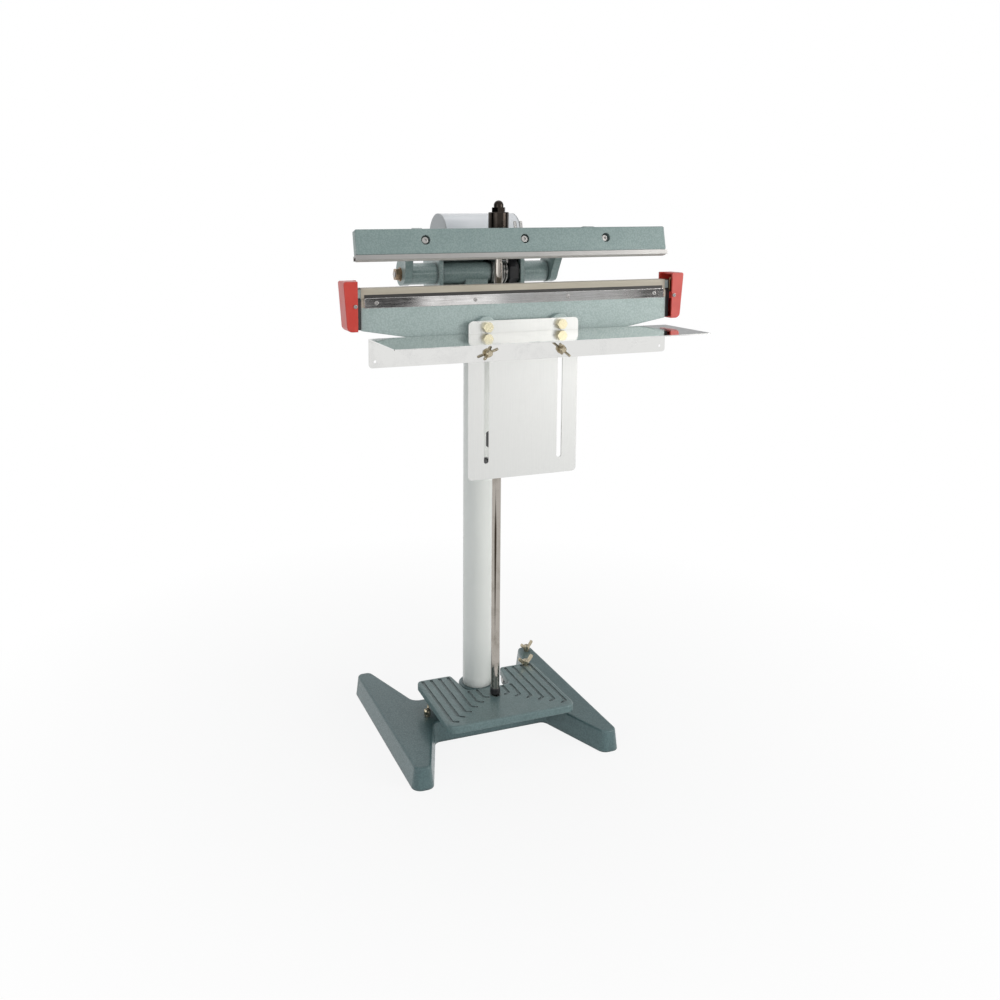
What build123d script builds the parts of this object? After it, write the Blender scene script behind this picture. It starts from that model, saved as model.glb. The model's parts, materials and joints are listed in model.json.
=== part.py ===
from build123d import *
import math
import os

# Foot pedal impulse sealer, in millimetres.
# Origin: the column's axis at floor level. +X is the operator's right, the operator stands on the -Y side, +Z is up.
# The moving jaw is drawn closed and then opened about the hinge, because it rests open.

# General clearances
running_gap = 0.05      # radial, shaft in a bearing
seat_gap = 0.02         # radial, a fit inside one body
side_gap = 0.4          # between faces that pass each other

# Column
column_d = 48.3
column_wall = 2.6
column_top = 726.0
column_foot = 8.0       # thickness of the socket's floor

# Base casting
base_half_w = 174.0
base_front = -176.0
base_rear = 152.0
base_h = 34.0
base_wall = 6.0
base_draft = 7.0        # degrees
leg_tip_w = 31.0
leg_root_front = 97.0   # half gap between the legs at the crossbar's front
leg_root_rear = 103.0
crossbar_front = -58.0
crossbar_rear = 28.0
socket_d = 62.0
socket_top = 62.0
base_fillet = 3.5
set_screw_z = (44.0, 54.0)
base_screw_d = 8.0
rear_screw_y = 131.0
bar_wing_x = 101.0      # wing screws in the crossbar
bar_wing_y = -31.0

# Pedal and its pivot
pedal_pivot_y = 2.0
pedal_pivot_z = 56.0
pedal_pin_d = 10.0
pedal_top = 76.3
pedal_plate = 6.0
pedal_rim_h = 12.0
pedal_rim_t = 5.0
pedal_half_w = 106.0
pedal_front_half_w = 108.0
pedal_rear_y = 8.0
pedal_front_y = -150.0
notch_half_rear = 45.0
notch_half_front = 38.0
notch_front_y = -50.0
groove_w = 5.0
groove_depth = 1.6
groove_pitch = 15.0
groove_first_x = 22.5
groove_count = 6
lug_x = 59.0            # inner face of the base lug
lug_t = 12.0
ear_rib_t = 8.0
rib_reach = 80.0
lug_side_gap = 2.0
lug_r = 9.5
pedal_screw_x = 91.0
pedal_screw_y = 1.0
pedal_screw_d = 7.0
ball_r = 11.5

# Hinge of the upper jaw
hinge_y = 5.0
hinge_z = 755.0
hinge_pin_d = 16.0
barrel_d = 34.0
barrel_half = 118.0
arm_hub_t = 12.0
arm_hub_r = 18.0
bush_d = 22.0
open_angle = 13.0       # degrees, jaw travel
hinge_thread_d = 10.0
hinge_nut_af = 17.0
arm_crown_y = 57.0      # hinge to the arm's crown
arm_crown_h = 46.0
arm_foot_y = 42.0       # hinge to the corner where the arm's underside turns forward
arm_foot_h = 19.0
arm_splay = 16.0

# Pull rod
rod_y = -75.5
rod_d = 14.0
rod_thread_d = 12.0
rod_foot_d = 10.0
rod_foot_z = 60.0       # centre of the ball nut
rod_end_z = 48.0
rod_swing_z = 796.0     # centre of the spherical seat
seat_ball_r = 24.0
seat_hole_r = 11.2
sleeve_d = 31.0
sleeve_bore = 24.6
seat_h = 25.0           # spring seat's flange above the swing centre
sleeve_h = 27.0
sleeve_roof = 4.0
seat_flange_top = rod_swing_z + seat_h
sleeve_bottom = seat_flange_top + 2.0
sleeve_top = sleeve_bottom + sleeve_h
dome_af = 19.0
dome_hex_h = 7.0
dome_r = 7.4
dome_h = 17.5
collar_d = 34.0
collar_h = 22.0
collar_z = 488.0
band_z = collar_z - 40.0
roller_r = 3.0

# Lower jaw
jaw_half = 242.0
jaw_front = -160.0
jaw_back = -136.0
jaw_shoulder = 729.0    # where the casting narrows to the sealing ridge
jaw_bottom = 677.0
jaw_end_bottom = 689.0
jaw_flat_half = jaw_half - 69.0
ridge_half = jaw_half + 5.5
ridge_front = -157.5
ridge_back = -142.5
ridge_top = 746.0
tape_t = 0.8
tape_w = 11.0
element_w = 5.0
element_t = 0.4
cloth_t = 0.4
cloth_gap = 0.1
strip_half = jaw_half - 5.0
strip_h = 14.0
strip_t = 1.5
strip_top = 734.0
strip_screw_x = (strip_half * 0.308, strip_half - 17.0)
cloth_half = jaw_half - 1.0
element_z = ridge_top + tape_t
cloth_inner_top = element_z + element_t + cloth_gap
cloth_top = cloth_inner_top + cloth_t
cloth_low = strip_top - strip_h + 1      # its hem ends behind the strips
strip_front_y = jaw_front - cloth_t
strip_back_y = jaw_back + cloth_t

# End caps
block_t = 5.5           # insulating block between jaw and cap
block_outer = jaw_half + block_t
cap_inner = block_outer + 0.5
cap_w = 20.0
cap_outer = cap_inner + cap_w
cap_top = 757.5
cap_bottom = 688.5
cap_front = -167.5
cap_back = -137.5
cap_wall = 2.5
cap_taper = 5.0         # how much narrower the cap is at its foot
cap_flange = 5.0        # overhang of the cap's rear wall over the jaw
cap_screw_x = cap_inner + 3.5
cap_screw_z = 723.5
terminal_x = cap_inner + 3.0
terminal_w = 10.0
element_end = cap_inner + 12.0

# Upper jaw, drawn closed
upper_half = jaw_half + 3.0
upper_bar_t = 12.0
upper_bar_h = 36.0
upper_bar_bottom = 756.0
upper_bar_back = -145.0
holder_h = 6.5
holder_w = 14.0
rubber_w = 10.0
rubber_drop = 1.4       # how far the rubber stands below its holder
jaw_closed_gap = 0.35
bar_screw_x = (-143.0, 10.0, 143.0)
bar_screw_z = upper_bar_bottom + upper_bar_h / 2 + 2
stud_r = 2.2            # two studs behind the bar, over its middle screw
stud_h = 14.0
stud_spread = 4.7
holder_mid = upper_bar_back - upper_bar_t / 2
counterbore_d = 13.5

# Shelf and its slotted plate
plate_half = 87.0
plate_bottom = 465.0
plate_top = 697.0
plate_t = 2.0
plate_front = -170.0
slot_x = 58.5
slot_w = 8.0
slot_low = 488.0
slot_high = 664.0
bolt_z = 688.0
bolt_af = 14.0
bolt_d = 10.0
spacer_d = 30.0
shelf_half = jaw_half - 7.0
shelf_top = 679.5
shelf_depth = 116.0
shelf_t = 1.5
flange_h = 41.0
shelf_back = plate_front - side_gap
wing_z = 651.0
wing_screw_d = 6.0

# Control hood on top of the head
hood_y = 16.0
hood_z = 809.5
hood_r = 39.0
hood_half = 62.0
hood_wall = 1.2
hood_bottom = 779.5
end_plate_t = 2.0
switch_x = -24.0
switch_z = 794.5
rocker_r = 9.0
rocker_y = hood_y + hood_r - 3.0
rocker_angle = 9.0      # degrees
gland_x = 28.0
gland_z = 793.0
gland_d = 12.0
knob_z = 815.0
knob_d = 32.0
lamp_y = hood_y - 20.0
fuse_y = hood_y + 20.0
small_z = 791.0         # height of the lamp and the fuse holder
trafo_y = hood_y - 5.0

# Head casting
head_socket_d = 64.0
head_socket_bottom = 652.0
cheek_x = 66.0
cheek_t = 7.0
cheek_front = -16.0
cheek_rear = 59.0
cheek_bottom = 704.0
head_web_x = 20.0
head_web_t = 9.0
head_web_bottom = 666.0
head_web_top = 715.0
head_flange_t = 8.0
head_flange_half = 60.0
head_wall_t = 6.0
clamp_screw_z = (head_socket_bottom + 14, column_top - 34)
clamp_screw_y = head_socket_d / 2 + 6

# Return spring
spring_wire = 4.0
spring_x0 = 14.0
spring_turns = 6
spring_pitch = spring_wire + 0.6
neck_right = spring_x0 - 2.0
collar_len = 16.0

os.makedirs("parts", exist_ok=True)


# Helpers

def block(x, y, z):
    """A box between the given limits, each a (low, high) pair."""
    size = [b - a for a, b in (x, y, z)]
    mid = [(a + b) / 2 for a, b in (x, y, z)]
    return Pos(*mid) * Box(*size)


def disc_x(r, x0, x1, y, z):
    return Pos((x0 + x1) / 2, y, z) * Rot(0, 90, 0) * Cylinder(r, x1 - x0)


def disc_y(r, y0, y1, x, z):
    return Pos(x, (y0 + y1) / 2, z) * Rot(90, 0, 0) * Cylinder(r, y1 - y0)


def disc_z(r, z0, z1, x=0.0, y=0.0):
    return Pos(x, y, (z0 + z1) / 2) * Cylinder(r, z1 - z0)


def outline(points, radii=0.0):
    """A closed face in the sketch plane, its corners rounded by one radius or a list of radii."""
    if isinstance(radii, (int, float)):
        if radii == 0:
            return make_face(Polyline(*points, close=True))
        radii = [radii] * len(points)
    return make_face(FilletPolyline(*points, radius=radii, close=True))


def side_profile(face, x0, x1):
    """Extrude a (y, z) face along X."""
    return Pos(x0, 0, 0) * extrude(Plane.YZ * face, x1 - x0)


def front_profile(face, y0, y1):
    """Extrude an (x, z) face along Y, from y1 towards y0."""
    plane = Plane(origin=(0, y1, 0), x_dir=(1, 0, 0), z_dir=(0, -1, 0))
    return extrude(plane * face, y1 - y0)


def hex_x(af, x0, x1, y, z):
    face = RegularPolygon(af / 2, 6, major_radius=False)
    return Pos(x0, y, z) * extrude(Plane.YZ * face, x1 - x0)


def hex_y(af, y0, y1, x, z):
    face = RegularPolygon(af / 2, 6, major_radius=False)
    plane = Plane(origin=(x, y1, z), x_dir=(1, 0, 0), z_dir=(0, -1, 0))
    return extrude(plane * face, y1 - y0)


def hex_z(af, z0, z1, x=0.0, y=0.0):
    return Pos(x, y, z0) * extrude(RegularPolygon(af / 2, 6, major_radius=False), z1 - z0)


def mirror_x(shape):
    return mirror(shape, Plane.YZ)


def both_sides(shape):
    return [shape, mirror_x(shape)]


def opened(shape):
    """Turn a piece of the upper jaw from closed to its rest, open."""
    return shape.rotate(Axis((0, hinge_y, hinge_z), (1, 0, 0)), -open_angle)


def solids_of(*shapes):
    """Gather separate pieces as one group of solids."""
    found = []
    for shape in shapes:
        if isinstance(shape, (list, tuple)):
            found += solids_of(*shape).solids()
        else:
            found += shape.solids()
    return Compound(children=found)


def wing_screw(d, length, shank_d=None):
    """A wing screw standing on z = 0 with its shank below."""
    half = [(0.9 * d, 0.3 * d), (2.3 * d, 1.6 * d), (1.9 * d, 2.5 * d), (0.7 * d, 1.15 * d)]
    radii = [0.3 * d, 0.4 * d, 0.4 * d, 0.3 * d]
    face = outline(half + [(-x, z) for x, z in reversed(half)], radii + radii[::-1])
    wings = Pos(0, 0.2 * d, 0) * extrude(Plane.XZ * face, 0.4 * d)
    hub = chamfer(disc_z(0.8 * d, 0, 1.35 * d).edges().group_by(Axis.Z)[-1], 0.2 * d)
    shank = disc_z((shank_d or d) / 2, -length, 0.2 * d)
    return hub + wings + shank


def coil(mean_r, wire_d, turns, pitch):
    """A helical spring standing on z = 0."""
    path = Helix(pitch, pitch * turns, mean_r)
    start = Plane(origin=path @ 0, z_dir=path % 0)
    return sweep(start * Circle(wire_d / 2), path)


def pan_screw_y(d, y_face, x, z, length):
    """A pan head screw whose head stands out towards -Y from y_face."""
    head = disc_y(d * 0.95, y_face - d * 0.55, y_face, x, z)
    head = fillet(head.edges().group_by(Axis.Y)[0], d * 0.3)
    return head + disc_y(d / 2, y_face - 0.1, y_face + length, x, z)


def save(name, shape):
    export_step(shape, f"parts/{name}.step")


# Base casting and column

def leg_outline(inset, draft_in):
    """The plan of the H: two tapered legs and a crossbar, moved in by a wall."""
    w = base_half_w - inset
    f = base_front + inset
    r = base_rear - inset
    tip = w - leg_tip_w + 2 * inset
    rf = leg_root_front + inset
    rr = leg_root_rear + inset
    cf = crossbar_front + inset
    cr = crossbar_rear - inset
    right = [(rf, cf), (tip, f), (w, f), (w, r), (tip, r), (rr, cr)]
    left = [(-x, y) for x, y in reversed(right)]
    root = 12.0 + draft_in
    tip_r = max(leg_tip_w / 2 - inset - 1.5, 2.0)
    radii = [root, tip_r, tip_r, tip_r, tip_r, root]
    return outline(right + left, radii + radii)


def make_base():
    shell = extrude(leg_outline(0, 0), base_h, taper=base_draft)
    shell = fillet(shell.faces().sort_by(Axis.Z)[-1].edges(), base_fillet)
    draft_run = (base_h - base_wall) * math.tan(math.radians(base_draft))
    hollow = extrude(leg_outline(base_wall, 0), base_h - base_wall, taper=base_draft)
    shell -= hollow
    socket = disc_z(socket_d / 2, 0, socket_top)
    socket = fillet(socket.edges().group_by(Axis.Z)[-1], 3)
    rib_reach = base_half_w - base_wall - leg_tip_w / 2
    ribs = block((-rib_reach, rib_reach), (-3, 3), (4, base_h - base_wall + 1))
    for side in (-1, 1):
        leg_mid = side * (base_half_w - leg_tip_w / 2 - draft_run / 2)
        ribs += block((leg_mid - 3, leg_mid + 3), (base_front + 14, base_rear - 14), (4, base_h - base_wall + 1))
    base = shell + socket + ribs
    lug_face = outline([(pedal_pivot_y - lug_r, base_h - 2), (pedal_pivot_y + lug_r, base_h - 2),
                        (pedal_pivot_y + lug_r, pedal_pivot_z + lug_r), (pedal_pivot_y - lug_r, pedal_pivot_z + lug_r)],
                       [0.0, 0.0, lug_r - 0.2, lug_r - 0.2])
    lug = side_profile(lug_face, lug_x, lug_x + lug_t)
    lug -= disc_x(pedal_pin_d / 2 + seat_gap, lug_x - 1, lug_x + lug_t + 1, pedal_pivot_y, pedal_pivot_z)
    base += lug
    base += mirror_x(lug)
    base -= disc_z(column_d / 2 + running_gap, column_foot, socket_top + 1)
    for x, y, z, d, length in base_screw_places():
        base += disc_z(d * 1.1, base_h - base_wall, base_h, x, y)
        base -= disc_z(d / 2 + seat_gap, z - length, base_h + 1, x, y)
    for z in set_screw_z:
        base -= disc_y(4 + seat_gap, column_d / 2, socket_d / 2 + 1, 0, z)
    return base


def base_screw_places():
    """x, y, seat height, diameter and shank length of the wing screws in the base."""
    d = base_screw_d
    seat = base_h + 2
    rear_x = base_half_w - leg_tip_w / 2 - 2.5
    bar = [(side * bar_wing_x, bar_wing_y, seat, d, base_h - 10) for side in (-1, 1)]
    return [(rear_x, rear_screw_y, seat, d, base_h - 1)] + bar


def make_base_wing_screws():
    turns = (20.0, 60.0, -60.0)
    screws = []
    for (x, y, z, d, length), turn in zip(base_screw_places(), turns):
        screws.append(Pos(x, y, z) * Rot(0, 0, turn) * wing_screw(d * 0.85, length, d))
    return solids_of(screws)


def make_column():
    tube = disc_z(column_d / 2, column_foot, column_top)
    return tube - disc_z(column_d / 2 - column_wall, column_foot - 1, column_top + 1)


def make_set_screws():
    screws = []
    for z in set_screw_z:
        screw = disc_y(4, column_d / 2 + 0.05, socket_d / 2 + 3, 0, z)
        screw -= Pos(0, socket_d / 2 + 3, z) * Rot(-90, 0, 0) * extrude(RegularPolygon(2, 6, major_radius=False), -3)
        screws.append(screw)
    return solids_of(screws)


# Pedal

def pedal_plan(inset=0.0):
    rear = pedal_rear_y - inset
    front = pedal_front_y + inset
    nr = notch_half_rear + inset
    nf = notch_half_front + inset
    ny = notch_front_y - inset
    w = pedal_half_w - inset
    wf = pedal_front_half_w - inset
    right = [(nf, ny), (nr, rear), (w, rear), (wf, front)]
    left = [(-x, y) for x, y in reversed(right)]
    radii = [12.0, 5.0, 8.0, 15.0]
    radii = [max(r - inset, 1.5) if i else r + inset for i, r in enumerate(radii)]
    return outline(right + left, radii + radii[::-1])


def groove_path(i):
    """A groove runs back to front and ends in a short hook towards the middle."""
    x = groove_first_x + i * groove_pitch
    end = -(62.0 + 0.73 * x)
    start = pedal_rear_y - 7 if x > notch_half_rear + 4 else notch_front_y - 5
    return [(x, start), (x, end), (x - 8, end - 4)]


def groove_cutters():
    cutters = []
    for i in range(groove_count):
        line = FilletPolyline(*groove_path(i), radius=4)
        strip = make_face(offset(line, groove_w / 2, side=Side.BOTH))
        cutters.append(Pos(0, 0, pedal_top - groove_depth) * extrude(strip, groove_depth + 1))
    return cutters


def make_pedal():
    plate = Pos(0, 0, pedal_top - pedal_rim_h) * extrude(pedal_plan(), pedal_rim_h)
    plate = fillet(plate.faces().sort_by(Axis.Z)[-1].edges(), 3)
    under = Pos(0, 0, pedal_top - pedal_rim_h) * extrude(pedal_plan(pedal_rim_t), pedal_rim_h - pedal_plate)
    pedal = plate - under
    for cutter in groove_cutters():
        pedal -= cutter
        pedal -= mirror_x(cutter)
    deck = pedal_top - pedal_plate + 0.5
    inner = lug_x - lug_side_gap - ear_rib_t
    outer = lug_x + lug_t + lug_side_gap
    rib_rear = pedal_rear_y - pedal_rim_t + lug_r - 1.5
    rib_face = outline([(pedal_pivot_y - lug_r, pedal_pivot_z - lug_r), (rib_rear, pedal_pivot_z - lug_r),
                        (pedal_rear_y - 2, deck), (pedal_pivot_y - rib_reach, deck),
                        (pedal_pivot_y - rib_reach * 0.525, pedal_pivot_z)], [6.0, 6.0, 0.0, 0.0, 10.0])
    for x in (inner, outer):
        rib = side_profile(rib_face, x, x + ear_rib_t)
        pedal += rib
        pedal += mirror_x(rib)
    rib_low = pedal_top - pedal_rim_h + 1
    for y in (-98.0, -126.0):
        pedal += block((-pedal_half_w + 3, pedal_half_w - 3), (y - 2.5, y + 2.5), (rib_low, deck))
    seat = disc_z(17, rod_foot_z + 1.5, deck, 0, rod_y)
    pedal += seat
    for side in (-1, 1):
        x0, x1 = sorted((side * (inner - 1), side * (outer + ear_rib_t + 1)))
        pedal -= disc_x(pedal_pin_d / 2 + running_gap, x0, x1, pedal_pivot_y, pedal_pivot_z)
        x0, x1 = sorted((side * (lug_x - 1), side * (lug_x + lug_t + 1)))
        pedal -= disc_x(lug_r + 1.2, x0, x1, pedal_pivot_y, pedal_pivot_z)
    slot_reach = 3.8
    for y in (rod_y - slot_reach, rod_y + slot_reach):
        pedal -= disc_z(6, rod_foot_z, pedal_top + 1, 0, y)
    pedal -= block((-6, 6), (rod_y - slot_reach, rod_y + slot_reach), (rod_foot_z, pedal_top + 1))
    pedal -= Pos(0, rod_y, rod_foot_z) * Sphere(ball_r + 0.3)
    x, y, z, d = pedal_screw_place()
    pedal -= disc_z(d / 2 + seat_gap, pedal_top - pedal_rim_h - 1, z + 1, x, y)
    return pedal


def pedal_screw_place():
    return (pedal_screw_x, pedal_screw_y, pedal_top, pedal_screw_d)


def make_pedal_wing_screw():
    x, y, z, d = pedal_screw_place()
    return Pos(x, y, z) * Rot(0, 0, 15) * wing_screw(d, pedal_rim_h + 1)


def make_pivot_pins():
    reach = lug_x + lug_t + lug_side_gap + ear_rib_t + 1.5
    start = lug_x - lug_side_gap - ear_rib_t - 1.5
    pin = disc_x(pedal_pin_d / 2, start, reach, pedal_pivot_y, pedal_pivot_z)
    head = disc_x(8, reach, reach + 4, pedal_pivot_y, pedal_pivot_z)
    pin += fillet(head.edges().group_by(Axis.X)[-1], 1.5)
    return solids_of(both_sides(pin))


# Pull rod

def make_rod():
    foot_top = pedal_top + 4
    rod = disc_z(rod_foot_d / 2, rod_end_z, foot_top, 0, rod_y)
    rod += disc_z(rod_d / 2, foot_top, rod_swing_z - 22, 0, rod_y)
    rod += disc_z(rod_thread_d / 2, rod_swing_z - 22.01, sleeve_top + dome_hex_h + 4, 0, rod_y)
    return rod


def make_foot_nut():
    nut = disc_z(8, pedal_top + 2.4, pedal_top + 12, 0, rod_y)
    nut = fillet(nut.edges().group_by(Axis.Z)[-1], 1.2)
    nut -= disc_z(rod_foot_d / 2 + seat_gap, pedal_top, pedal_top + 4, 0, rod_y)
    nut -= disc_z(rod_d / 2 + seat_gap, pedal_top + 4, pedal_top + 13, 0, rod_y)
    return nut


def make_ball_nut():
    ball = Pos(0, rod_y, rod_foot_z) * Sphere(ball_r)
    ball &= disc_z(ball_r + 1, rod_foot_z - 2, rod_foot_z + ball_r - 1.5, 0, rod_y)
    nut = ball + hex_z(17, rod_end_z + 2, rod_foot_z - 1.9, 0, rod_y)
    return nut - disc_z(rod_foot_d / 2 + seat_gap, rod_end_z, rod_foot_z + ball_r, 0, rod_y)


def make_switch_collar():
    ring = disc_z(collar_d / 2, collar_z, collar_z + collar_h, 0, rod_y)
    ring = chamfer(ring.edges(), 1)
    ring -= disc_z(rod_d / 2 + seat_gap, collar_z - 1, collar_z + collar_h + 1, 0, rod_y)
    return ring - disc_x(2.5, collar_d / 2 - 4, collar_d / 2 + 1, rod_y, collar_z + collar_h / 2)


def make_spring_seat():
    low = rod_swing_z + 17.5
    seat = disc_z(sleeve_d / 2, low, seat_flange_top, 0, rod_y)
    seat -= Pos(0, rod_y, rod_swing_z) * Sphere(seat_ball_r + 0.1)
    return seat - disc_z(rod_thread_d / 2 + running_gap, low - 1, seat_flange_top + 1, 0, rod_y)


def make_sleeve():
    cup = disc_z(sleeve_d / 2, sleeve_bottom, sleeve_top, 0, rod_y)
    cup = fillet(cup.edges().group_by(Axis.Z)[-1], 1.5)
    cup -= disc_z(sleeve_bore / 2, sleeve_bottom - 1, sleeve_top - sleeve_roof, 0, rod_y)
    return cup - disc_z(rod_thread_d / 2 + seat_gap, sleeve_top - 5, sleeve_top + 1, 0, rod_y)


def make_pressure_spring():
    wire = 3.0
    room = sleeve_top - sleeve_roof - seat_flange_top
    turns = 4
    spring = coil(sleeve_bore / 2 - wire / 2 - 0.6, wire, turns, (room - wire - 0.4) / turns)
    return Pos(0, rod_y, seat_flange_top + wire / 2 + 0.2) * spring


def make_dome_nut():
    nut = hex_z(dome_af, sleeve_top, sleeve_top + dome_hex_h, 0, rod_y)
    dome_low = sleeve_top + dome_hex_h - 0.01
    dome = disc_z(dome_r, dome_low, sleeve_top + dome_h - dome_r, 0, rod_y)
    dome += Pos(0, rod_y, sleeve_top + dome_h - dome_r) * Sphere(dome_r)
    nut += dome & disc_z(dome_r + 1, dome_low, sleeve_top + dome_h + 1, 0, rod_y)
    return nut - disc_z(rod_thread_d / 2 + seat_gap, sleeve_top - 1, sleeve_top + dome_hex_h + 4.5, 0, rod_y)


# Head casting, hinge and return spring

def make_head():
    socket = disc_z(head_socket_d / 2, head_socket_bottom, column_top + 2)
    barrel = disc_x(barrel_d / 2, -barrel_half, barrel_half, hinge_y, hinge_z)
    neck = block((-26, neck_right), (hinge_y - 14, hinge_y + 14), (column_top, hinge_z))
    cheek_face = outline([(cheek_front, cheek_bottom + 18), (cheek_front, hood_bottom - 2), (cheek_rear, hood_bottom - 2),
                          (cheek_rear, cheek_bottom + 30), (20.0, cheek_bottom), (cheek_front + 14, cheek_bottom)],
                         [8.0, 6.0, 8.0, 14.0, 12.0, 8.0])
    cheek = side_profile(cheek_face, cheek_x, cheek_x + cheek_t)
    deck = block((-cheek_x - 1, cheek_x + 1), (hinge_y - 8, hinge_y + 26), (cheek_bottom + 8, cheek_bottom + 16))
    wall_y = hinge_y + 25
    wall = block((-cheek_x - 1, cheek_x + 1), (wall_y, wall_y + head_wall_t), (cheek_bottom + 8, hood_bottom - 2))
    head = socket + barrel + neck + deck + wall + cheek + mirror_x(cheek)
    web_face = outline([(0.0, head_web_bottom - 8), (0.0, head_web_top), (jaw_back + head_flange_t - 1, head_web_top),
                        (jaw_back + head_flange_t - 1, head_web_bottom), (-70.0, head_web_bottom)],
                       [0.0, 0.0, 0.0, 0.0, 20.0])
    web = side_profile(web_face, head_web_x, head_web_x + head_web_t)
    flange_face = outline([(-head_flange_half, head_web_bottom - 2), (head_flange_half, head_web_bottom - 2),
                           (head_flange_half, head_web_top), (-head_flange_half, head_web_top)], 6.0)
    flange = front_profile(flange_face, jaw_back, jaw_back + head_flange_t)
    tie_y = (jaw_back + head_flange_t - 1, rod_y - 26)
    tie = block((-head_web_x - 2, head_web_x + 2), tie_y, (head_web_top - 9, head_web_top))
    head += web + mirror_x(web) + flange + tie
    ear = block((3, 17), (column_d / 2 - 2, head_socket_d / 2 + 14), (head_socket_bottom + 4, column_top - 22))
    ear = fillet(ear.edges().filter_by(Axis.X), 4)
    head += ear + mirror_x(ear)
    head -= disc_z(column_d / 2 + running_gap, head_socket_bottom - 1, column_top)
    head -= block((-1.5, 1.5), (column_d / 2 - 3, head_socket_d / 2 + 15), (head_socket_bottom - 1, column_top - 18))
    head -= disc_x(hinge_pin_d / 2 + seat_gap, -barrel_half - 1, barrel_half + 1, hinge_y, hinge_z)
    for z in clamp_screw_z:
        head -= disc_x(4 + running_gap, -18, 18, clamp_screw_y, z)
    for x, z in fixing_screw_places():
        head -= disc_y(4.2, jaw_back - 1, jaw_back + head_flange_t + 1, x, z)
    return head


def make_clamp_screws():
    screws = []
    for z in clamp_screw_z:
        screw = disc_x(4, -17.0, 24.5, clamp_screw_y, z)
        screw += hex_x(13, -22.5, -17.0, clamp_screw_y, z)
        screws.append(screw)
        nut = hex_x(13, 17.0, 23.5, clamp_screw_y, z) - disc_x(4 + seat_gap, 16, 25, clamp_screw_y, z)
        screws.append(nut)
    return solids_of(screws)


def make_hinge_pin():
    left = -(barrel_half + side_gap * 2 + arm_hub_t)
    right = -left
    pin = disc_x(hinge_pin_d / 2, left, right, hinge_y, hinge_z)
    pin += disc_x(hinge_thread_d / 2, left - 9.5, left + 0.5, hinge_y, hinge_z)
    head = disc_x(hinge_pin_d / 2 + 3.5, right, right + 3.5, hinge_y, hinge_z)
    return pin + fillet(head.edges().group_by(Axis.X)[-1], 1.5)


def make_hinge_nut():
    left = -(barrel_half + side_gap * 2 + arm_hub_t)
    washer = disc_x(hinge_nut_af * 0.6, left - 1.6, left, hinge_y, hinge_z)
    nut = hex_x(hinge_nut_af, left - 8.6, left - 1.6, hinge_y, hinge_z)
    nut = (nut & disc_x(hinge_nut_af * 0.56, left - 8.6, left - 1.6, hinge_y, hinge_z)) + washer
    return nut - disc_x(hinge_thread_d / 2 + seat_gap, left - 12, left + 1, hinge_y, hinge_z)


def make_return_spring():
    """Torsion spring round the hinge barrel; its long leg lifts the yoke's cross beam."""
    mean_r = barrel_d / 2 + spring_wire / 2 + 0.8
    path = Helix(spring_pitch, spring_pitch * spring_turns, mean_r, lefthand=True)
    turns = sweep(Plane(origin=path @ 0, z_dir=path % 0) * Circle(spring_wire / 2), path)
    x = spring_x0 + spring_wire / 2
    turns = Pos(x, hinge_y, hinge_z) * Rot(0, 90, 0) * Rot(0, 0, 180) * turns
    leg_z = hinge_z + mean_r
    leg_end = rod_y + 3.5
    leg = disc_y(spring_wire / 2, leg_end, hinge_y, x, leg_z)
    leg += Pos(x, leg_end, leg_z) * Sphere(spring_wire / 2)
    leg += disc_z(spring_wire / 2, leg_z, rod_swing_z - 14, x, leg_end)
    return solids_of(turns + leg)


def make_spring_collar():
    x0 = spring_x0 + spring_wire + spring_pitch * spring_turns + 1.4
    face = Rot(0, 0, 22.5) * RegularPolygon(22, 8, major_radius=False)
    ring = Pos(x0, hinge_y, hinge_z) * extrude(Plane.YZ * face, collar_len)
    ring = chamfer(ring.edges().group_by(Axis.X)[0] + ring.edges().group_by(Axis.X)[-1], 1.5)
    return ring - disc_x(barrel_d / 2 + seat_gap, x0 - 1, x0 + collar_len + 1, hinge_y, hinge_z)


# Lower jaw and sealing line

def make_lower_jaw():
    face = outline([(-jaw_half, jaw_end_bottom), (-jaw_flat_half, jaw_bottom), (jaw_flat_half, jaw_bottom),
                    (jaw_half, jaw_end_bottom), (jaw_half, jaw_shoulder), (-jaw_half, jaw_shoulder)],
                   [3.0, 24.0, 24.0, 3.0, 0.0, 0.0])
    body = front_profile(face, jaw_front, jaw_back)
    front_edges = [e for e in body.edges().group_by(Axis.Y)[0] if e.center().Z < jaw_shoulder - 3]
    body = fillet(front_edges, 1.5)
    pocket = outline([(-jaw_half + 14, jaw_end_bottom + 8), (-head_flange_half - 6, jaw_end_bottom + 4),
                      (-head_flange_half - 6, jaw_shoulder - 9), (-jaw_half + 14, jaw_shoulder - 9)], 5.0)
    cut = front_profile(pocket, jaw_back - 12, jaw_back + 1)
    body -= cut
    body -= mirror_x(cut)
    ridge = block((-jaw_half, jaw_half), (ridge_front, ridge_back), (jaw_shoulder - 0.01, ridge_top))
    ridge += block((-ridge_half, ridge_half), (ridge_front, ridge_back), (jaw_shoulder + 5, ridge_top))
    jaw = body + ridge
    for x in strip_screw_x:
        for side in (-1, 1):
            jaw -= disc_y(1.5 + seat_gap, jaw_front - 1, jaw_front + 9, side * x, strip_top - strip_h / 2)
            jaw -= disc_y(1.5 + seat_gap, jaw_back - 9, jaw_back + 1, side * x, strip_top - strip_h / 2)
    for side in (-1, 1):
        jaw -= disc_y(bolt_d / 2 + seat_gap, jaw_front - 1, jaw_front + 16, side * slot_x, bolt_z)
    for x, z in fixing_screw_places():
        jaw -= disc_y(4 + seat_gap, jaw_back - 14, jaw_back + 1, x, z)
    return jaw


def fixing_screw_places():
    return [(side * 44.0, z) for side in (-1, 1) for z in (head_web_bottom + 14, head_web_top - 12)]


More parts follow.
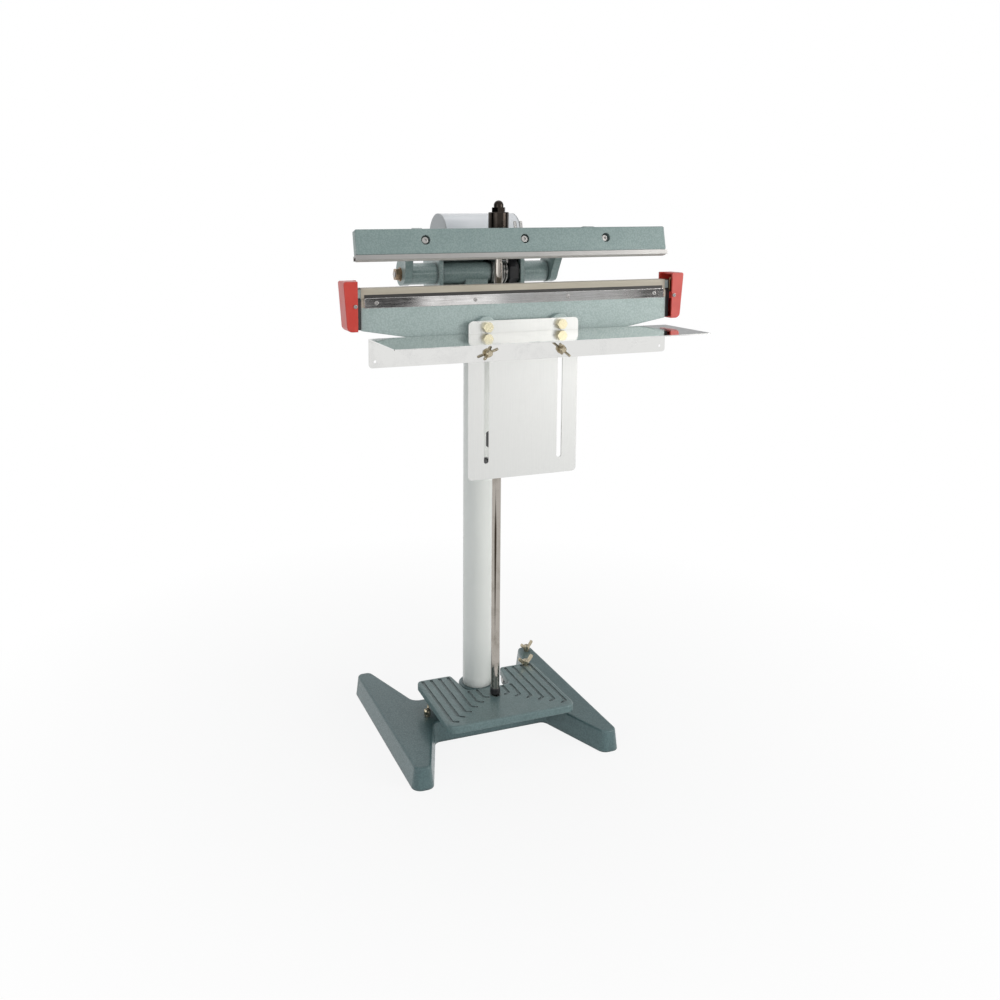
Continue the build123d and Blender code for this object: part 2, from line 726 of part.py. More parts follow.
def make_fixing_screws():
    screws = []
    for x, z in fixing_screw_places():
        face = jaw_back + head_flange_t
        screw = disc_y(4, jaw_back - 13, face, x, z)
        head = disc_y(6.5, face, face + 8, x, z)
        head -= Pos(x, face + 8, z) * Rot(-90, 0, 0) * extrude(RegularPolygon(3, 6, major_radius=False), -4)
        screws.append(screw + head)
    return solids_of(screws)


def make_tape():
    mid = (ridge_front + ridge_back) / 2
    return block((-ridge_half, ridge_half), (mid - tape_w / 2, mid + tape_w / 2), (ridge_top, ridge_top + tape_t))


def make_element():
    """The ribbon runs along the ridge and dips to a terminal under each end cap."""
    mid = (ridge_front + ridge_back) / 2
    return block((-element_end, element_end), (mid - element_w / 2, mid + element_w / 2), (element_z, element_z + element_t))


def make_terminals():
    """A post on each end block; the ribbon is screwed to its top."""
    mid = (ridge_front + ridge_back) / 2
    x0 = terminal_x
    low = jaw_shoulder - 8
    post = block((x0, x0 + terminal_w), (mid - 5, mid + 5), (low, element_z))
    post = fillet(post.edges().filter_by(Axis.Z), 1.5)
    post += block((block_outer, x0 + 1), (mid - 5, mid + 5), (low, low + 6))
    screw = disc_z(2.6, element_z + element_t, element_z + element_t + 2, x0 + terminal_w / 2, mid)
    return solids_of(both_sides(post), both_sides(screw))


def make_end_block():
    """Insulating block on the jaw's end, with a lug that takes the cap's screw."""
    rear = cap_back - cap_wall - 0.6
    face = outline([(jaw_front + 1, jaw_end_bottom + 1), (rear, jaw_end_bottom + 1),
                    (rear, jaw_shoulder + 4), (jaw_front + 1, jaw_shoulder + 4)], 1.5)
    plate = side_profile(face, jaw_half, block_outer)
    plate += block((block_outer - 1, cap_screw_x + 4), (jaw_front + 1, jaw_front + 4.5), (cap_screw_z - 6, cap_screw_z + 6))
    return plate - disc_y(1.5 + seat_gap, jaw_front, jaw_front + 6, cap_screw_x, cap_screw_z)


def make_cloth():
    """Coated cloth over the ridge, held down in front and behind by the clamp strips."""
    front = jaw_front - cloth_t
    back = jaw_back + cloth_t
    skin = [(front, cloth_low), (front, jaw_shoulder + 2.5), (ridge_front - cloth_t - cloth_gap, jaw_shoulder + 5),
            (ridge_front - cloth_t - cloth_gap, cloth_top), (ridge_back + cloth_t + cloth_gap, cloth_top),
            (ridge_back + cloth_t + cloth_gap, jaw_shoulder + 5), (back, jaw_shoulder + 2.5), (back, cloth_low)]
    inner = [(jaw_front, cloth_low), (jaw_front, jaw_shoulder + 2.2), (ridge_front - cloth_gap, jaw_shoulder + 4.7),
             (ridge_front - cloth_gap, cloth_inner_top), (ridge_back + cloth_gap, cloth_inner_top),
             (ridge_back + cloth_gap, jaw_shoulder + 4.7), (jaw_back, jaw_shoulder + 2.2), (jaw_back, cloth_low)]
    sheet = side_profile(outline(skin + inner[::-1]), -cloth_half, cloth_half)
    for x in strip_screw_x:
        for side in (-1, 1):
            sheet -= disc_y(1.7, front - 1, back + 1, side * x, strip_top - strip_h / 2)
    return sheet


def clamp_strip(y0, y1):
    strip = block((-strip_half, strip_half), (y0, y1), (strip_top - strip_h, strip_top))
    strip = fillet(strip.edges().filter_by(Axis.Y), 1.0)
    for x in strip_screw_x:
        for side in (-1, 1):
            strip -= disc_y(1.6, y0 - 1, y1 + 1, side * x, strip_top - strip_h / 2)
    return strip


def make_strip_screws():
    screws = []
    z = strip_top - strip_h / 2
    for x in strip_screw_x:
        for side in (-1, 1):
            screw = pan_screw_y(3.0, strip_front_y - strip_t, side * x, z, strip_t + 7)
            screws.append(screw)
            screws.append(mirror(screw, Plane.XZ.offset(-(jaw_front + jaw_back) / 2)))
    return solids_of(screws)


def cap_outline(inset):
    top = cap_top - inset
    low = cap_bottom + inset
    outer = cap_outer - inset
    r_small = max(3.0 - inset, 0.6)
    r_big = max(8.0 - inset, 1.0)
    return outline([(cap_inner - (1 if inset else 0), low), (outer - cap_taper, low), (outer, top), (cap_inner - (1 if inset else 0), top)],
                   [0.0, r_big, r_small, 0.0])


def make_end_cap():
    """A moulded cover, open towards the jaw, with a lip of its rear wall and roof over the jaw's end."""
    cap = front_profile(cap_outline(0), cap_front, cap_back)
    cap = fillet([e for e in cap.edges().group_by(Axis.Y)[0] if e.center().X > cap_inner + 1], 1.2)
    cap -= front_profile(cap_outline(cap_wall), cap_front + cap_wall, cap_back - cap_wall)
    lip = block((cap_inner - cap_flange, cap_inner + 1), (cap_back - cap_wall, cap_back), (cap_bottom + 3, cap_top))
    roof = block((cap_inner - cap_flange, cap_inner + 1), (ridge_back + 1, cap_back), (cap_top - cap_wall, cap_top))
    cap += lip + roof
    boss = block((cap_inner + 0.5, cap_inner + 7), (cap_front + 1, jaw_front + 1), (cap_screw_z - 5, cap_screw_z + 5))
    cap += boss
    return cap - disc_y(1.6, cap_front - 1, jaw_front + 2, cap_screw_x, cap_screw_z)


def make_cap_screws():
    screw = pan_screw_y(3.0, cap_front, cap_screw_x, cap_screw_z, 12)
    return solids_of(both_sides(screw))


# Upper jaw

def swing_centre_closed():
    dy = rod_y - hinge_y
    dz = rod_swing_z - hinge_z
    a = math.radians(open_angle)
    return (hinge_y + dy * math.cos(a) - dz * math.sin(a), hinge_z + dy * math.sin(a) + dz * math.cos(a))


def make_yoke():
    """Two splayed gooseneck arms and a cross beam with the rod's boss."""
    inner = barrel_half + side_gap
    outer = inner + arm_hub_t + side_gap
    splay = arm_splay
    back = upper_bar_back
    bar_top = upper_bar_bottom + upper_bar_h
    crown_z = hinge_z + arm_crown_h
    hub = arm_hub_r - 0.1
    side_face = outline([(hinge_y + arm_hub_r, hinge_z - arm_hub_r), (hinge_y + arm_hub_r, hinge_z + arm_hub_r),
                         (hinge_y - arm_crown_y, crown_z), (back + 33, crown_z + 2), (back, bar_top - 2),
                         (back, upper_bar_bottom + 4), (back + 27, upper_bar_bottom + 6),
                         (hinge_y - arm_foot_y, hinge_z + arm_foot_h), (hinge_y - arm_hub_r + 1, hinge_z - arm_hub_r)],
                        [hub, hub, hub, hub, 0.0, 0.0, hub, hub * 0.8, hub * 0.8])
    plan_face = outline([(inner, hinge_y + arm_hub_r + 1), (inner, hinge_y - arm_hub_r - 6), (inner + splay, back + 18),
                         (inner + splay - 3, back), (outer + splay + 8, back), (outer + splay + 2, back + 18),
                         (outer, hinge_y - arm_hub_r - 6), (outer, hinge_y + arm_hub_r + 1)],
                        [0.0, 30.0, 8.0, 0.0, 0.0, 8.0, 30.0, 0.0])
    arm = side_profile(side_face, inner - 1, outer + splay + 10)
    arm &= Pos(0, 0, hinge_z - 40) * extrude(plan_face, 120)
    arm -= disc_x(bush_d / 2, inner - 1, outer + 1, hinge_y, hinge_z)
    py, pz = swing_centre_closed()
    beam_face = outline([(py - 15, pz - 9), (py + 13, pz - 13), (py + 16, pz + 5), (py - 12, pz + 9)], 5.0)
    beam = side_profile(beam_face, -(inner + splay), inner + splay)
    centre_arm_face = outline([(back, upper_bar_bottom + 4), (back, bar_top - 2), (py, pz + 8), (py, pz - 12)], 0.0)
    centre_arm = side_profile(centre_arm_face, bar_screw_x[1] - 10, bar_screw_x[1] + 10)
    yoke = arm + mirror_x(arm) + beam + centre_arm
    for x in bar_screw_x:
        yoke -= disc_y(3 + seat_gap, back - 1, back + 16, x, bar_screw_z)
    for x in stud_places():
        yoke -= disc_z(stud_r + seat_gap, bar_top - 12, bar_top + 10, x, back + 8)
    yoke = opened(yoke)
    yoke += disc_z(22, rod_swing_z - 14, rod_swing_z + 7, 0, rod_y)
    yoke -= disc_z(19.6, rod_swing_z + 7, rod_swing_z + 40, 0, rod_y)
    yoke -= disc_z(10.6, rod_swing_z - 40, rod_swing_z + 40, 0, rod_y)
    return yoke


def stud_places():
    return [bar_screw_x[1] - stud_spread, bar_screw_x[1] + stud_spread]


def make_bushes():
    inner = barrel_half + side_gap
    bush = disc_x(bush_d / 2, inner, inner + arm_hub_t + side_gap, hinge_y, hinge_z)
    bush -= disc_x(hinge_pin_d / 2 + running_gap, inner - 1, inner + arm_hub_t + 2, hinge_y, hinge_z)
    return solids_of([opened(side) for side in both_sides(bush)])


def make_seat_washer():
    low = rod_swing_z + 7
    washer = disc_z(19, low, rod_swing_z + seat_ball_r, 0, rod_y)
    washer &= Pos(0, rod_y, rod_swing_z) * Sphere(seat_ball_r)
    return washer - disc_z(seat_hole_r, low - 1, rod_swing_z + seat_ball_r + 1, 0, rod_y)


def make_upper_bar():
    front = upper_bar_back - upper_bar_t
    bar = block((-upper_half, upper_half), (front, upper_bar_back), (upper_bar_bottom, upper_bar_bottom + upper_bar_h))
    bar = fillet(bar.edges().filter_by(Axis.Y), 2.5)
    bar = fillet(bar.edges().filter_by(Axis.X).group_by(Axis.Y)[0], 1.2)
    for x in bar_screw_x:
        bar -= disc_y(counterbore_d / 2, front - 1, front + 6.5, x, bar_screw_z)
        bar -= disc_y(3.2, front, upper_bar_back + 1, x, bar_screw_z)
    return opened(bar)


def make_bar_screws():
    front = upper_bar_back - upper_bar_t
    screws = []
    for i, x in enumerate(bar_screw_x):
        seat = front + 6.5
        head_h = 4.2 if i < 2 else 2.6
        head = disc_y(5.4, seat - head_h, seat, x, bar_screw_z)
        head = fillet(head.edges().group_by(Axis.Y)[0], 1.4)
        head -= Pos(x, seat - head_h, bar_screw_z) * Rot(90, 0, 0) * extrude(RegularPolygon(2, 6, major_radius=False), -1.8)
        screws.append(head + disc_y(3, seat - 0.5, upper_bar_back + 14, x, bar_screw_z))
    bar_top = upper_bar_bottom + upper_bar_h
    for x in stud_places():
        stud = disc_z(stud_r, bar_top - 11, bar_top + stud_h - 0.8, x, upper_bar_back + 8)
        screws.append(stud + disc_z(stud_r - 0.5, bar_top, bar_top + stud_h, x, upper_bar_back + 8))
    return solids_of([opened(screw) for screw in screws])


def make_holder():
    """Aluminium extrusion under the bar, with a groove for the rubber."""
    half = holder_w / 2
    top = upper_bar_bottom
    low = top - holder_h
    lip = 1.2
    face = outline([(holder_mid - half, top), (holder_mid - half, low), (holder_mid - rubber_w / 2, low),
                    (holder_mid - rubber_w / 2, low + 3.6), (holder_mid + rubber_w / 2, low + 3.6),
                    (holder_mid + rubber_w / 2, low), (holder_mid + half, low), (holder_mid + half, top)], 0.0)
    return opened(side_profile(face, -upper_half - lip, upper_half + lip))


def make_rubber():
    low = upper_bar_bottom - holder_h
    half = rubber_w / 2 - seat_gap
    face = outline([(holder_mid - half, low + 3.6), (holder_mid - half, low - rubber_drop + 0.6),
                    (holder_mid - half + 1.4, low - rubber_drop), (holder_mid + half - 1.4, low - rubber_drop),
                    (holder_mid + half, low - rubber_drop + 0.6), (holder_mid + half, low + 3.6)], 0.0)
    return opened(side_profile(face, -upper_half + 1, upper_half - 1))


# Shelf

def make_guide_plate():
    face = outline([(-plate_half, plate_bottom), (plate_half, plate_bottom), (plate_half, plate_top), (-plate_half, plate_top)],
                   7.0)
    plate = front_profile(face, plate_front, plate_front + plate_t)
    for side in (-1, 1):
        slot = disc_y(slot_w / 2, plate_front - 1, plate_front + plate_t + 1, side * slot_x, slot_low + slot_w / 2)
        slot += disc_y(slot_w / 2, plate_front - 1, plate_front + plate_t + 1, side * slot_x, slot_high - slot_w / 2)
        slot += block((side * slot_x - slot_w / 2, side * slot_x + slot_w / 2), (plate_front - 1, plate_front + plate_t + 1),
                      (slot_low + slot_w / 2, slot_high - slot_w / 2))
        plate -= slot
        plate -= disc_y(bolt_d / 2 + 0.25, plate_front - 1, plate_front + plate_t + 1, side * slot_x, bolt_z)
    return plate


def make_spacers():
    spacer = disc_y(spacer_d / 2, plate_front + plate_t, jaw_front, slot_x, bolt_z)
    spacer = fillet(spacer.edges().group_by(Axis.Y)[0], 1.2)
    spacer -= disc_y(bolt_d / 2 + 0.25, plate_front, jaw_front + 1, slot_x, bolt_z)
    return solids_of(both_sides(spacer))


def make_plate_bolts():
    head = hex_y(bolt_af, plate_front - 6.4, plate_front, slot_x, bolt_z)
    head &= Pos(slot_x, plate_front - 3.2, bolt_z) * Rot(90, 0, 0) * Cone(bolt_af * 0.62, bolt_af * 0.53, 6.4)
    bolt = head + disc_y(bolt_d / 2, plate_front - 0.1, jaw_front + 15, slot_x, bolt_z)
    return solids_of(both_sides(bolt))


def make_shelf():
    deck = block((-shelf_half, shelf_half), (shelf_back - shelf_depth, shelf_back), (shelf_top - shelf_t, shelf_top))
    deck = fillet(deck.edges().filter_by(Axis.Z).group_by(Axis.Y)[0], 4)
    face = outline([(-shelf_half, shelf_top - flange_h), (shelf_half, shelf_top - flange_h),
                    (shelf_half, shelf_top), (-shelf_half, shelf_top)], [5.0, 5.0, 0.0, 0.0])
    flange = front_profile(face, shelf_back - shelf_t, shelf_back)
    shelf = deck + flange
    bend = shelf.edges().filter_by(Axis.X).filter_by_position(Axis.Z, shelf_top - 0.01, shelf_top + 0.01)
    shelf = fillet(bend.sort_by(Axis.Y)[-1], 1.2)
    for side in (-1, 1):
        shelf -= disc_y(wing_screw_d / 2 + 0.2, shelf_back - 3, shelf_back + 1, side * slot_x, wing_z)
        shelf -= disc_y(2.0, shelf_back - 3, shelf_back + 1, side * (shelf_half - 9), shelf_top - flange_h + 9)
    return shelf


def make_shelf_wing_screws():
    screws = []
    reach = shelf_t + side_gap + plate_t + side_gap + 8
    for side, turn in ((-1, 35.0), (1, -50.0)):
        washer = disc_z(7, 0, 1.2) - disc_z(wing_screw_d / 2 - 0.5, -1, 2)
        screw = Pos(0, 0, 1.2) * wing_screw(wing_screw_d, reach) + washer
        screw = Rot(0, 0, turn) * screw
        screws.append(Pos(side * slot_x, shelf_back - shelf_t, wing_z) * Rot(90, 0, 0) * screw)
    return solids_of(screws)


def make_clamp_nuts():
    face = plate_front + plate_t + side_gap
    nut = hex_y(10, face + 1.2, face + 6.2, slot_x, wing_z)
    nut += disc_y(7, face, face + 1.2, slot_x, wing_z)
    nut -= disc_y(wing_screw_d / 2 + seat_gap, face - 1, face + 8, slot_x, wing_z)
    return solids_of(both_sides(nut))


# Control hood and what is in it

def hood_outline(inset):
    r = hood_r - inset
    body = Pos(hood_y, hood_z) * Circle(r)
    tall = hood_z - hood_bottom
    body += Pos(hood_y, hood_z - tall / 2) * Rectangle(2 * r, tall)
    keep = Pos(hood_y, hood_bottom + 60) * Rectangle(4 * hood_r, 120)
    return body & keep


def make_hood():
    hood = side_profile(hood_outline(0), -hood_half, hood_half)
    hood -= side_profile(hood_outline(hood_wall), -hood_half - 1, hood_half + 1)
    hood -= block((switch_x - 11, switch_x + 11), (hood_y + hood_r - 4, hood_y + hood_r + 2), (switch_z - 7.5, switch_z + 7.5))
    hood -= disc_y(gland_d / 2 + seat_gap, hood_y + hood_r - 4, hood_y + hood_r + 2, gland_x, gland_z)
    return hood


def make_end_plates():
    left = side_profile(hood_outline(0), -hood_half - end_plate_t, -hood_half)
    right = mirror_x(left)
    right -= disc_x(3 + running_gap, hood_half - 1, hood_half + 4, hood_y, knob_z)
    right -= disc_x(5 + seat_gap, hood_half - 1, hood_half + 4, lamp_y, small_z)
    right -= disc_x(6 + seat_gap, hood_half - 1, hood_half + 4, fuse_y, small_z)
    return solids_of(left, right)


def make_hood_floor():
    inner = hood_r - hood_wall
    floor = block((-hood_half, hood_half), (hood_y - inner, hood_y + inner), (hood_bottom, hood_bottom + 2))
    floor += block((-cheek_x - cheek_t, cheek_x + cheek_t), (cheek_front + 6, cheek_rear - 8), (hood_bottom - 2, hood_bottom))
    return floor


def make_hood_screws():
    screws = []
    for side in (-1, 1):
        for y in (hood_y - 27, hood_y + 27):
            x = side * (hood_half + end_plate_t)
            head = disc_x(3.4, 0, 2, y, small_z + 12) if side > 0 else disc_x(3.4, -2, 0, y, small_z + 12)
            screws.append(Pos(x, 0, 0) * fillet(head.edges().sort_by(Axis.X)[-1 if side > 0 else 0], 1.0))
    return solids_of(screws)


def make_transformer_core():
    z0 = hood_bottom + 2
    core = block((-38, 22), (trafo_y - 24, trafo_y + 24), (z0, z0 + 40))
    window = block((-39, 23), (trafo_y - 16, trafo_y - 8), (z0 + 8, z0 + 32))
    core -= window
    core -= block((-39, 23), (trafo_y + 8, trafo_y + 16), (z0 + 8, z0 + 32))
    return core


def make_transformer_winding():
    z0 = hood_bottom + 2
    winding = block((-46, 30), (trafo_y - 15.5, trafo_y + 15.5), (z0 + 8.5, z0 + 31.5))
    winding = fillet(winding.edges().filter_by(Axis.Z), 7)
    core_limb = block((-38.1, 22.1), (trafo_y - 8, trafo_y + 8), (z0 + 5, z0 + 35))
    return winding - core_limb


def make_timer_board():
    z0 = hood_bottom + 2
    board = block((hood_half - 26, hood_half - 24), (hood_y - 24, hood_y + 24), (z0, z0 + 50))
    return board - disc_x(5, hood_half - 27, hood_half - 23, hood_y, knob_z)


def make_timer_pot():
    pot = disc_x(11, hood_half - 14, hood_half - 3, hood_y, knob_z) + disc_x(4.5, hood_half - 24, hood_half, hood_y, knob_z)
    return pot - disc_x(3 + running_gap, hood_half - 10, hood_half + 1, hood_y, knob_z)


def make_timer_spindle():
    return disc_x(3, hood_half - 9, hood_half + end_plate_t + 10, hood_y, knob_z)


def make_timer_knob():
    face = hood_half + end_plate_t + 0.6
    skirt = disc_x(knob_d / 2, face, face + 4, hood_y, knob_z)
    skirt = chamfer(skirt.edges().group_by(Axis.X)[-1], 1.5)
    grip = disc_x(knob_d / 2 - 6, face + 3.9, face + 15, hood_y, knob_z)
    grip = fillet(grip.edges().group_by(Axis.X)[-1], 1.2)
    for i in range(12):
        a = math.radians(i * 30 + 15)
        r = knob_d / 2 - 5
        grip -= disc_x(1.7, face + 4, face + 16, hood_y + r * math.cos(a), knob_z + r * math.sin(a))
    pointer = block((face + 4, face + 15.4), (hood_y - 0.8, hood_y + 0.8), (knob_z + 3, knob_z + knob_d / 2 - 6.3))
    knob = skirt + grip + pointer
    return knob - disc_x(3, face - 1, hood_half + end_plate_t + 10, hood_y, knob_z)


def make_switch_body():
    y1 = hood_y + hood_r
    body = block((switch_x - 11, switch_x + 11), (y1 - 18, y1), (switch_z - 7.5, switch_z + 7.5))
    body += block((switch_x - 12.5, switch_x + 12.5), (y1, y1 + 1.8), (switch_z - 9, switch_z + 9))
    body -= disc_z(rocker_r + 0.3, switch_z - 6.2, switch_z + 6.2, switch_x, rocker_y)
    return body - block((switch_x - rocker_r - 0.3, switch_x + rocker_r + 0.3), (rocker_y, y1 + 3), (switch_z - 6.2, switch_z + 6.2))


def make_rocker():
    """A wedge-faced rocker whose back is a round drum about its pivot."""
    drum = Circle(rocker_r)
    reach = rocker_r * math.cos(math.radians(rocker_angle))
    front = outline([(-reach, 0), (-reach, 6.2), (0, 4.2), (reach, 6.2), (reach, 0)])
    half = drum & (Pos(0, -rocker_r / 2) * Rectangle(2 * rocker_r, rocker_r))
    face = half + (front & Circle(rocker_r))
    rocker = extrude(face, 12.0)
    return Pos(switch_x, rocker_y, switch_z - 6.0) * rocker.rotate(Axis.Z, rocker_angle)


def make_lamp():
    x = hood_half + end_plate_t
    lamp = disc_x(7, x, x + 1.5, lamp_y, small_z) + disc_x(5, x - 14, x + 0.5, lamp_y, small_z)
    return lamp + (Pos(x + 1.5, lamp_y, small_z) * Sphere(4.5) & block((x + 1, x + 7), (lamp_y - 6, lamp_y + 6), (small_z - 6, small_z + 6)))


def make_fuse_holder():
    x = hood_half + end_plate_t
    cap = disc_x(7, x, x + 6, fuse_y, small_z)
    cap = fillet(cap.edges().group_by(Axis.X)[-1], 1.2)
    cap -= block((x + 5, x + 7), (fuse_y - 5, fuse_y + 5), (small_z - 0.6, small_z + 0.6))
    return cap + disc_x(6, x - 20, x + 0.5, fuse_y, small_z)


def make_gland():
    y1 = hood_y + hood_r
    gland = hex_y(17, y1, y1 + 5, gland_x, gland_z) + disc_y(gland_d / 2, y1 - 8, y1 + 0.5, gland_x, gland_z)
    nose = Pos(gland_x, y1 + 10, gland_z) * Rot(-90, 0, 0) * Cone(7.5, 5.5, 10)
    return gland + nose - disc_y(3.6, y1 - 9, y1 + 16, gland_x, gland_z)


# Switch that starts the heat when the jaws have closed

def make_switch_bracket():
    low, high = band_z - 8, band_z + 8
    saddle = disc_z(column_d / 2 + 2.2, low, high) & block((-15, 15), (-column_d, -column_d / 4), (low, high))
    tongue = block((-9, 9), (rod_y + 23, -column_d / 2 - 1), (low, low + 3))
    return saddle + tongue - disc_z(column_d / 2 + seat_gap, low - 1, high + 1)


def make_microswitch():
    low = band_z - 5
    body = block((-5.2, 5.2), (rod_y + 23, -column_d / 2 - 6), (low, low + 16))
    body = fillet(body.edges().filter_by(Axis.X), 1.2)
    roller_y = rod_y + rod_d / 2 + roller_r + 2.2
    roller = disc_x(roller_r, -3, 3, roller_y, low + 19.5)
    lever = block((-2, 2), (roller_y, -column_d / 2 - 8), (low + 16.0, low + 17.2))
    return body + roller + lever


PARTS = {
    "base_casting": make_base,
    "column_tube": make_column,
    "column_set_screws": make_set_screws,
    "base_wing_screws": make_base_wing_screws,
    "pedal_casting": make_pedal,
    "pedal_wing_screw": make_pedal_wing_screw,
    "pedal_pivot_pins": make_pivot_pins,
    "pull_rod": make_rod,
    "rod_foot_nut": make_foot_nut,
    "rod_ball_nut": make_ball_nut,
    "switch_collar": make_switch_collar,
    "spring_seat": make_spring_seat,
    "rod_sleeve": make_sleeve,
    "pressure_spring": make_pressure_spring,
    "dome_nut": make_dome_nut,
    "head_casting": make_head,
    "head_clamp_screws": make_clamp_screws,
    "hinge_pin": make_hinge_pin,
    "hinge_pin_nut": make_hinge_nut,
    "return_spring": make_return_spring,
    "spring_collar": make_spring_collar,
    "lower_jaw_casting": make_lower_jaw,
    "jaw_fixing_screws": make_fixing_screws,
    "insulation_tape": make_tape,
    "heating_element": make_element,
    "element_terminals": make_terminals,
    "end_block_right": make_end_block,
    "end_block_left": lambda: mirror_x(make_end_block()),
    "ptfe_cloth": make_cloth,
    "front_clamp_strip": lambda: clamp_strip(strip_front_y - strip_t, strip_front_y),
    "rear_clamp_strip": lambda: clamp_strip(strip_back_y, strip_back_y + strip_t),
    "clamp_screws": make_strip_screws,
    "end_cap_right": make_end_cap,
    "end_cap_left": lambda: mirror_x(make_end_cap()),
    "end_cap_screws": make_cap_screws,
    "upper_yoke": make_yoke,
    "arm_bushes": make_bushes,
    "seat_washer": make_seat_washer,
    "upper_jaw_bar": make_upper_bar,
    "jaw_bar_screws": make_bar_screws,
    "rubber_holder": make_holder,
    "silicone_strip": make_rubber,
    "shelf_guide_plate": make_guide_plate,
    "plate_spacers": make_spacers,
    "guide_plate_bolts": make_plate_bolts,
    "product_shelf": make_shelf,
    "shelf_wing_screws": make_shelf_wing_screws,
    "shelf_clamp_nuts": make_clamp_nuts,
    "control_hood": make_hood,
    "hood_end_plates": make_end_plates,
    "hood_floor": make_hood_floor,
    "hood_screws": make_hood_screws,
    "transformer": lambda: solids_of(make_transformer_core(), make_transformer_winding()),
    "timer_board": lambda: solids_of(make_timer_board(), make_timer_pot()),
    "timer_knob": lambda: solids_of(make_timer_knob(), make_timer_spindle()),
    "switch_body": make_switch_body,
    "switch_rocker": make_rocker,
    "panel_fittings": lambda: solids_of(make_lamp(), make_fuse_holder()),
    "cord_gland": make_gland,
    "microswitch": lambda: solids_of(make_switch_bracket(), make_microswitch()),
}

for part_name, maker in PARTS.items():
    save(part_name, maker())
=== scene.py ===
# %% [markdown]
# # A foot pedal sealer in Blender
# The machine seals plastic bags with a pulse of heat: the operator treads on the pedal, a rod pulls the
# upper jaw down on the lower one, and a ribbon under a cloth gets hot for a moment.
# The solids come from the CAD frame at their real size, so this lesson adds light, finishes and small
# parts. The import lines come first, and the frame is loaded before anything else is made.

# %% Load the CAD frame
import json
import math

import bpy
from mathutils import Matrix, Vector


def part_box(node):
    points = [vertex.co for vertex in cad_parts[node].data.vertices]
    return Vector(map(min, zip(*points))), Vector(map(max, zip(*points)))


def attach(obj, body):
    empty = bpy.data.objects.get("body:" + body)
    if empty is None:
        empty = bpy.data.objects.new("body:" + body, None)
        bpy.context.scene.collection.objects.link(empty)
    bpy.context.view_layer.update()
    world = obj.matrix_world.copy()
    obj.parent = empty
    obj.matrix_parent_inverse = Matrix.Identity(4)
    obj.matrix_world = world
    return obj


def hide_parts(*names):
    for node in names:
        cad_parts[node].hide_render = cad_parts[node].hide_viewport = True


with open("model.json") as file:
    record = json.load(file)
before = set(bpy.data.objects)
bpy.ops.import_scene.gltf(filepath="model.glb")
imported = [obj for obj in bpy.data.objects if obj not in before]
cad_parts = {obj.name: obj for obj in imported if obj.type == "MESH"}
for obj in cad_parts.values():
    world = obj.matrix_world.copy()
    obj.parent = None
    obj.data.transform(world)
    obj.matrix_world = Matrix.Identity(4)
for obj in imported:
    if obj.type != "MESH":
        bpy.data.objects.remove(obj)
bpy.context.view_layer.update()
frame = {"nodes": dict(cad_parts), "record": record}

MM = 0.001

# %% [markdown]
# ## Camera
# The picture was taken from the left and a little above the jaws, with a short lens, so the machine's near
# edges look larger. A camera can be placed by eye, but here its viewpoint was solved from straight edges
# whose places are known. The numbers below are that answer: place, three angles, focal length and optical
# centre in a picture 1000 pixels wide. The optical centre isn't in the picture's middle, which a small
# lens shift copies.

# %% Camera
PICTURE_PX = 1000.0
FOCAL_PX = 966.7
CENTRE_PX = (415.0, 355.0)
CAMERA_PLACE = Vector((-0.6038, -1.4269, 0.8463))
YAW, PITCH, ROLL = (math.radians(angle) for angle in (19.146, 8.242, -0.296))
SENSOR_MM = 36.0


def make_camera():
    data = bpy.data.cameras.new("studio_camera")
    data.sensor_width = SENSOR_MM
    data.lens = SENSOR_MM * FOCAL_PX / PICTURE_PX
    data.shift_x = 0.5 - CENTRE_PX[0] / PICTURE_PX
    data.shift_y = CENTRE_PX[1] / PICTURE_PX - 0.5
    flat = math.cos(PITCH)
    forward = Vector((math.sin(YAW) * flat, math.cos(YAW) * flat, -math.sin(PITCH)))
    level = Vector((math.cos(YAW), -math.sin(YAW), 0.0))
    upright = level.cross(forward)
    right = math.cos(ROLL) * level + math.sin(ROLL) * upright
    up = math.cos(ROLL) * upright - math.sin(ROLL) * level
    camera = bpy.data.objects.new("studio_camera", data)
    bpy.context.scene.collection.objects.link(camera)
    turn = Matrix((right, up, -forward)).transposed().to_4x4()
    camera.matrix_world = Matrix.Translation(CAMERA_PLACE) @ turn
    bpy.context.scene.camera = camera
    return camera


camera = make_camera()
bpy.context.scene.view_settings.view_transform = "Standard"
print("lens", round(camera.data.lens, 1), "mm")

# %% [markdown]
# ## Node helpers
# Every finish is a small graph of nodes. A few helpers keep the graphs short: one adds a node and fills or
# links its sockets, two start and close a node group with named inputs and outputs, and the rest are sums
# that come back often. A group is like a function, so one hammered paint serves several materials.

# %% Add one node
def add(tree, kind, values=None, **settings):
    """Add a shader node, set its options, then link or fill its sockets."""
    made = tree.nodes.new("ShaderNode" + kind)
    for name, value in settings.items():
        setattr(made, name, value)
    for name, value in (values or {}).items():
        if isinstance(value, bpy.types.NodeSocket):
            tree.links.new(value, made.inputs[name])
        else:
            made.inputs[name].default_value = value
    return made


def remap(tree, value, low, high, to_low=0.0, to_high=1.0):
    """Stretch a value's range, clamped at both ends."""
    values = {"Value": value, "From Min": low, "From Max": high, "To Min": to_low, "To Max": to_high}
    return add(tree, "MapRange", values).outputs["Result"]


def math_node(tree, operation, a, b=0.0):
    return add(tree, "Math", {0: a, 1: b}, operation=operation).outputs[0]


def mix_colour(tree, factor, a, b):
    return add(tree, "Mix", {0: factor, 6: a, 7: b}, data_type="RGBA").outputs[2]


def object_place(tree, stretch=(1.0, 1.0, 1.0)):
    """The point's place on the machine in metres, scaled along each axis."""
    place = add(tree, "TexCoord").outputs["Object"]
    return add(tree, "Mapping", {"Vector": place, "Scale": stretch}).outputs["Vector"]


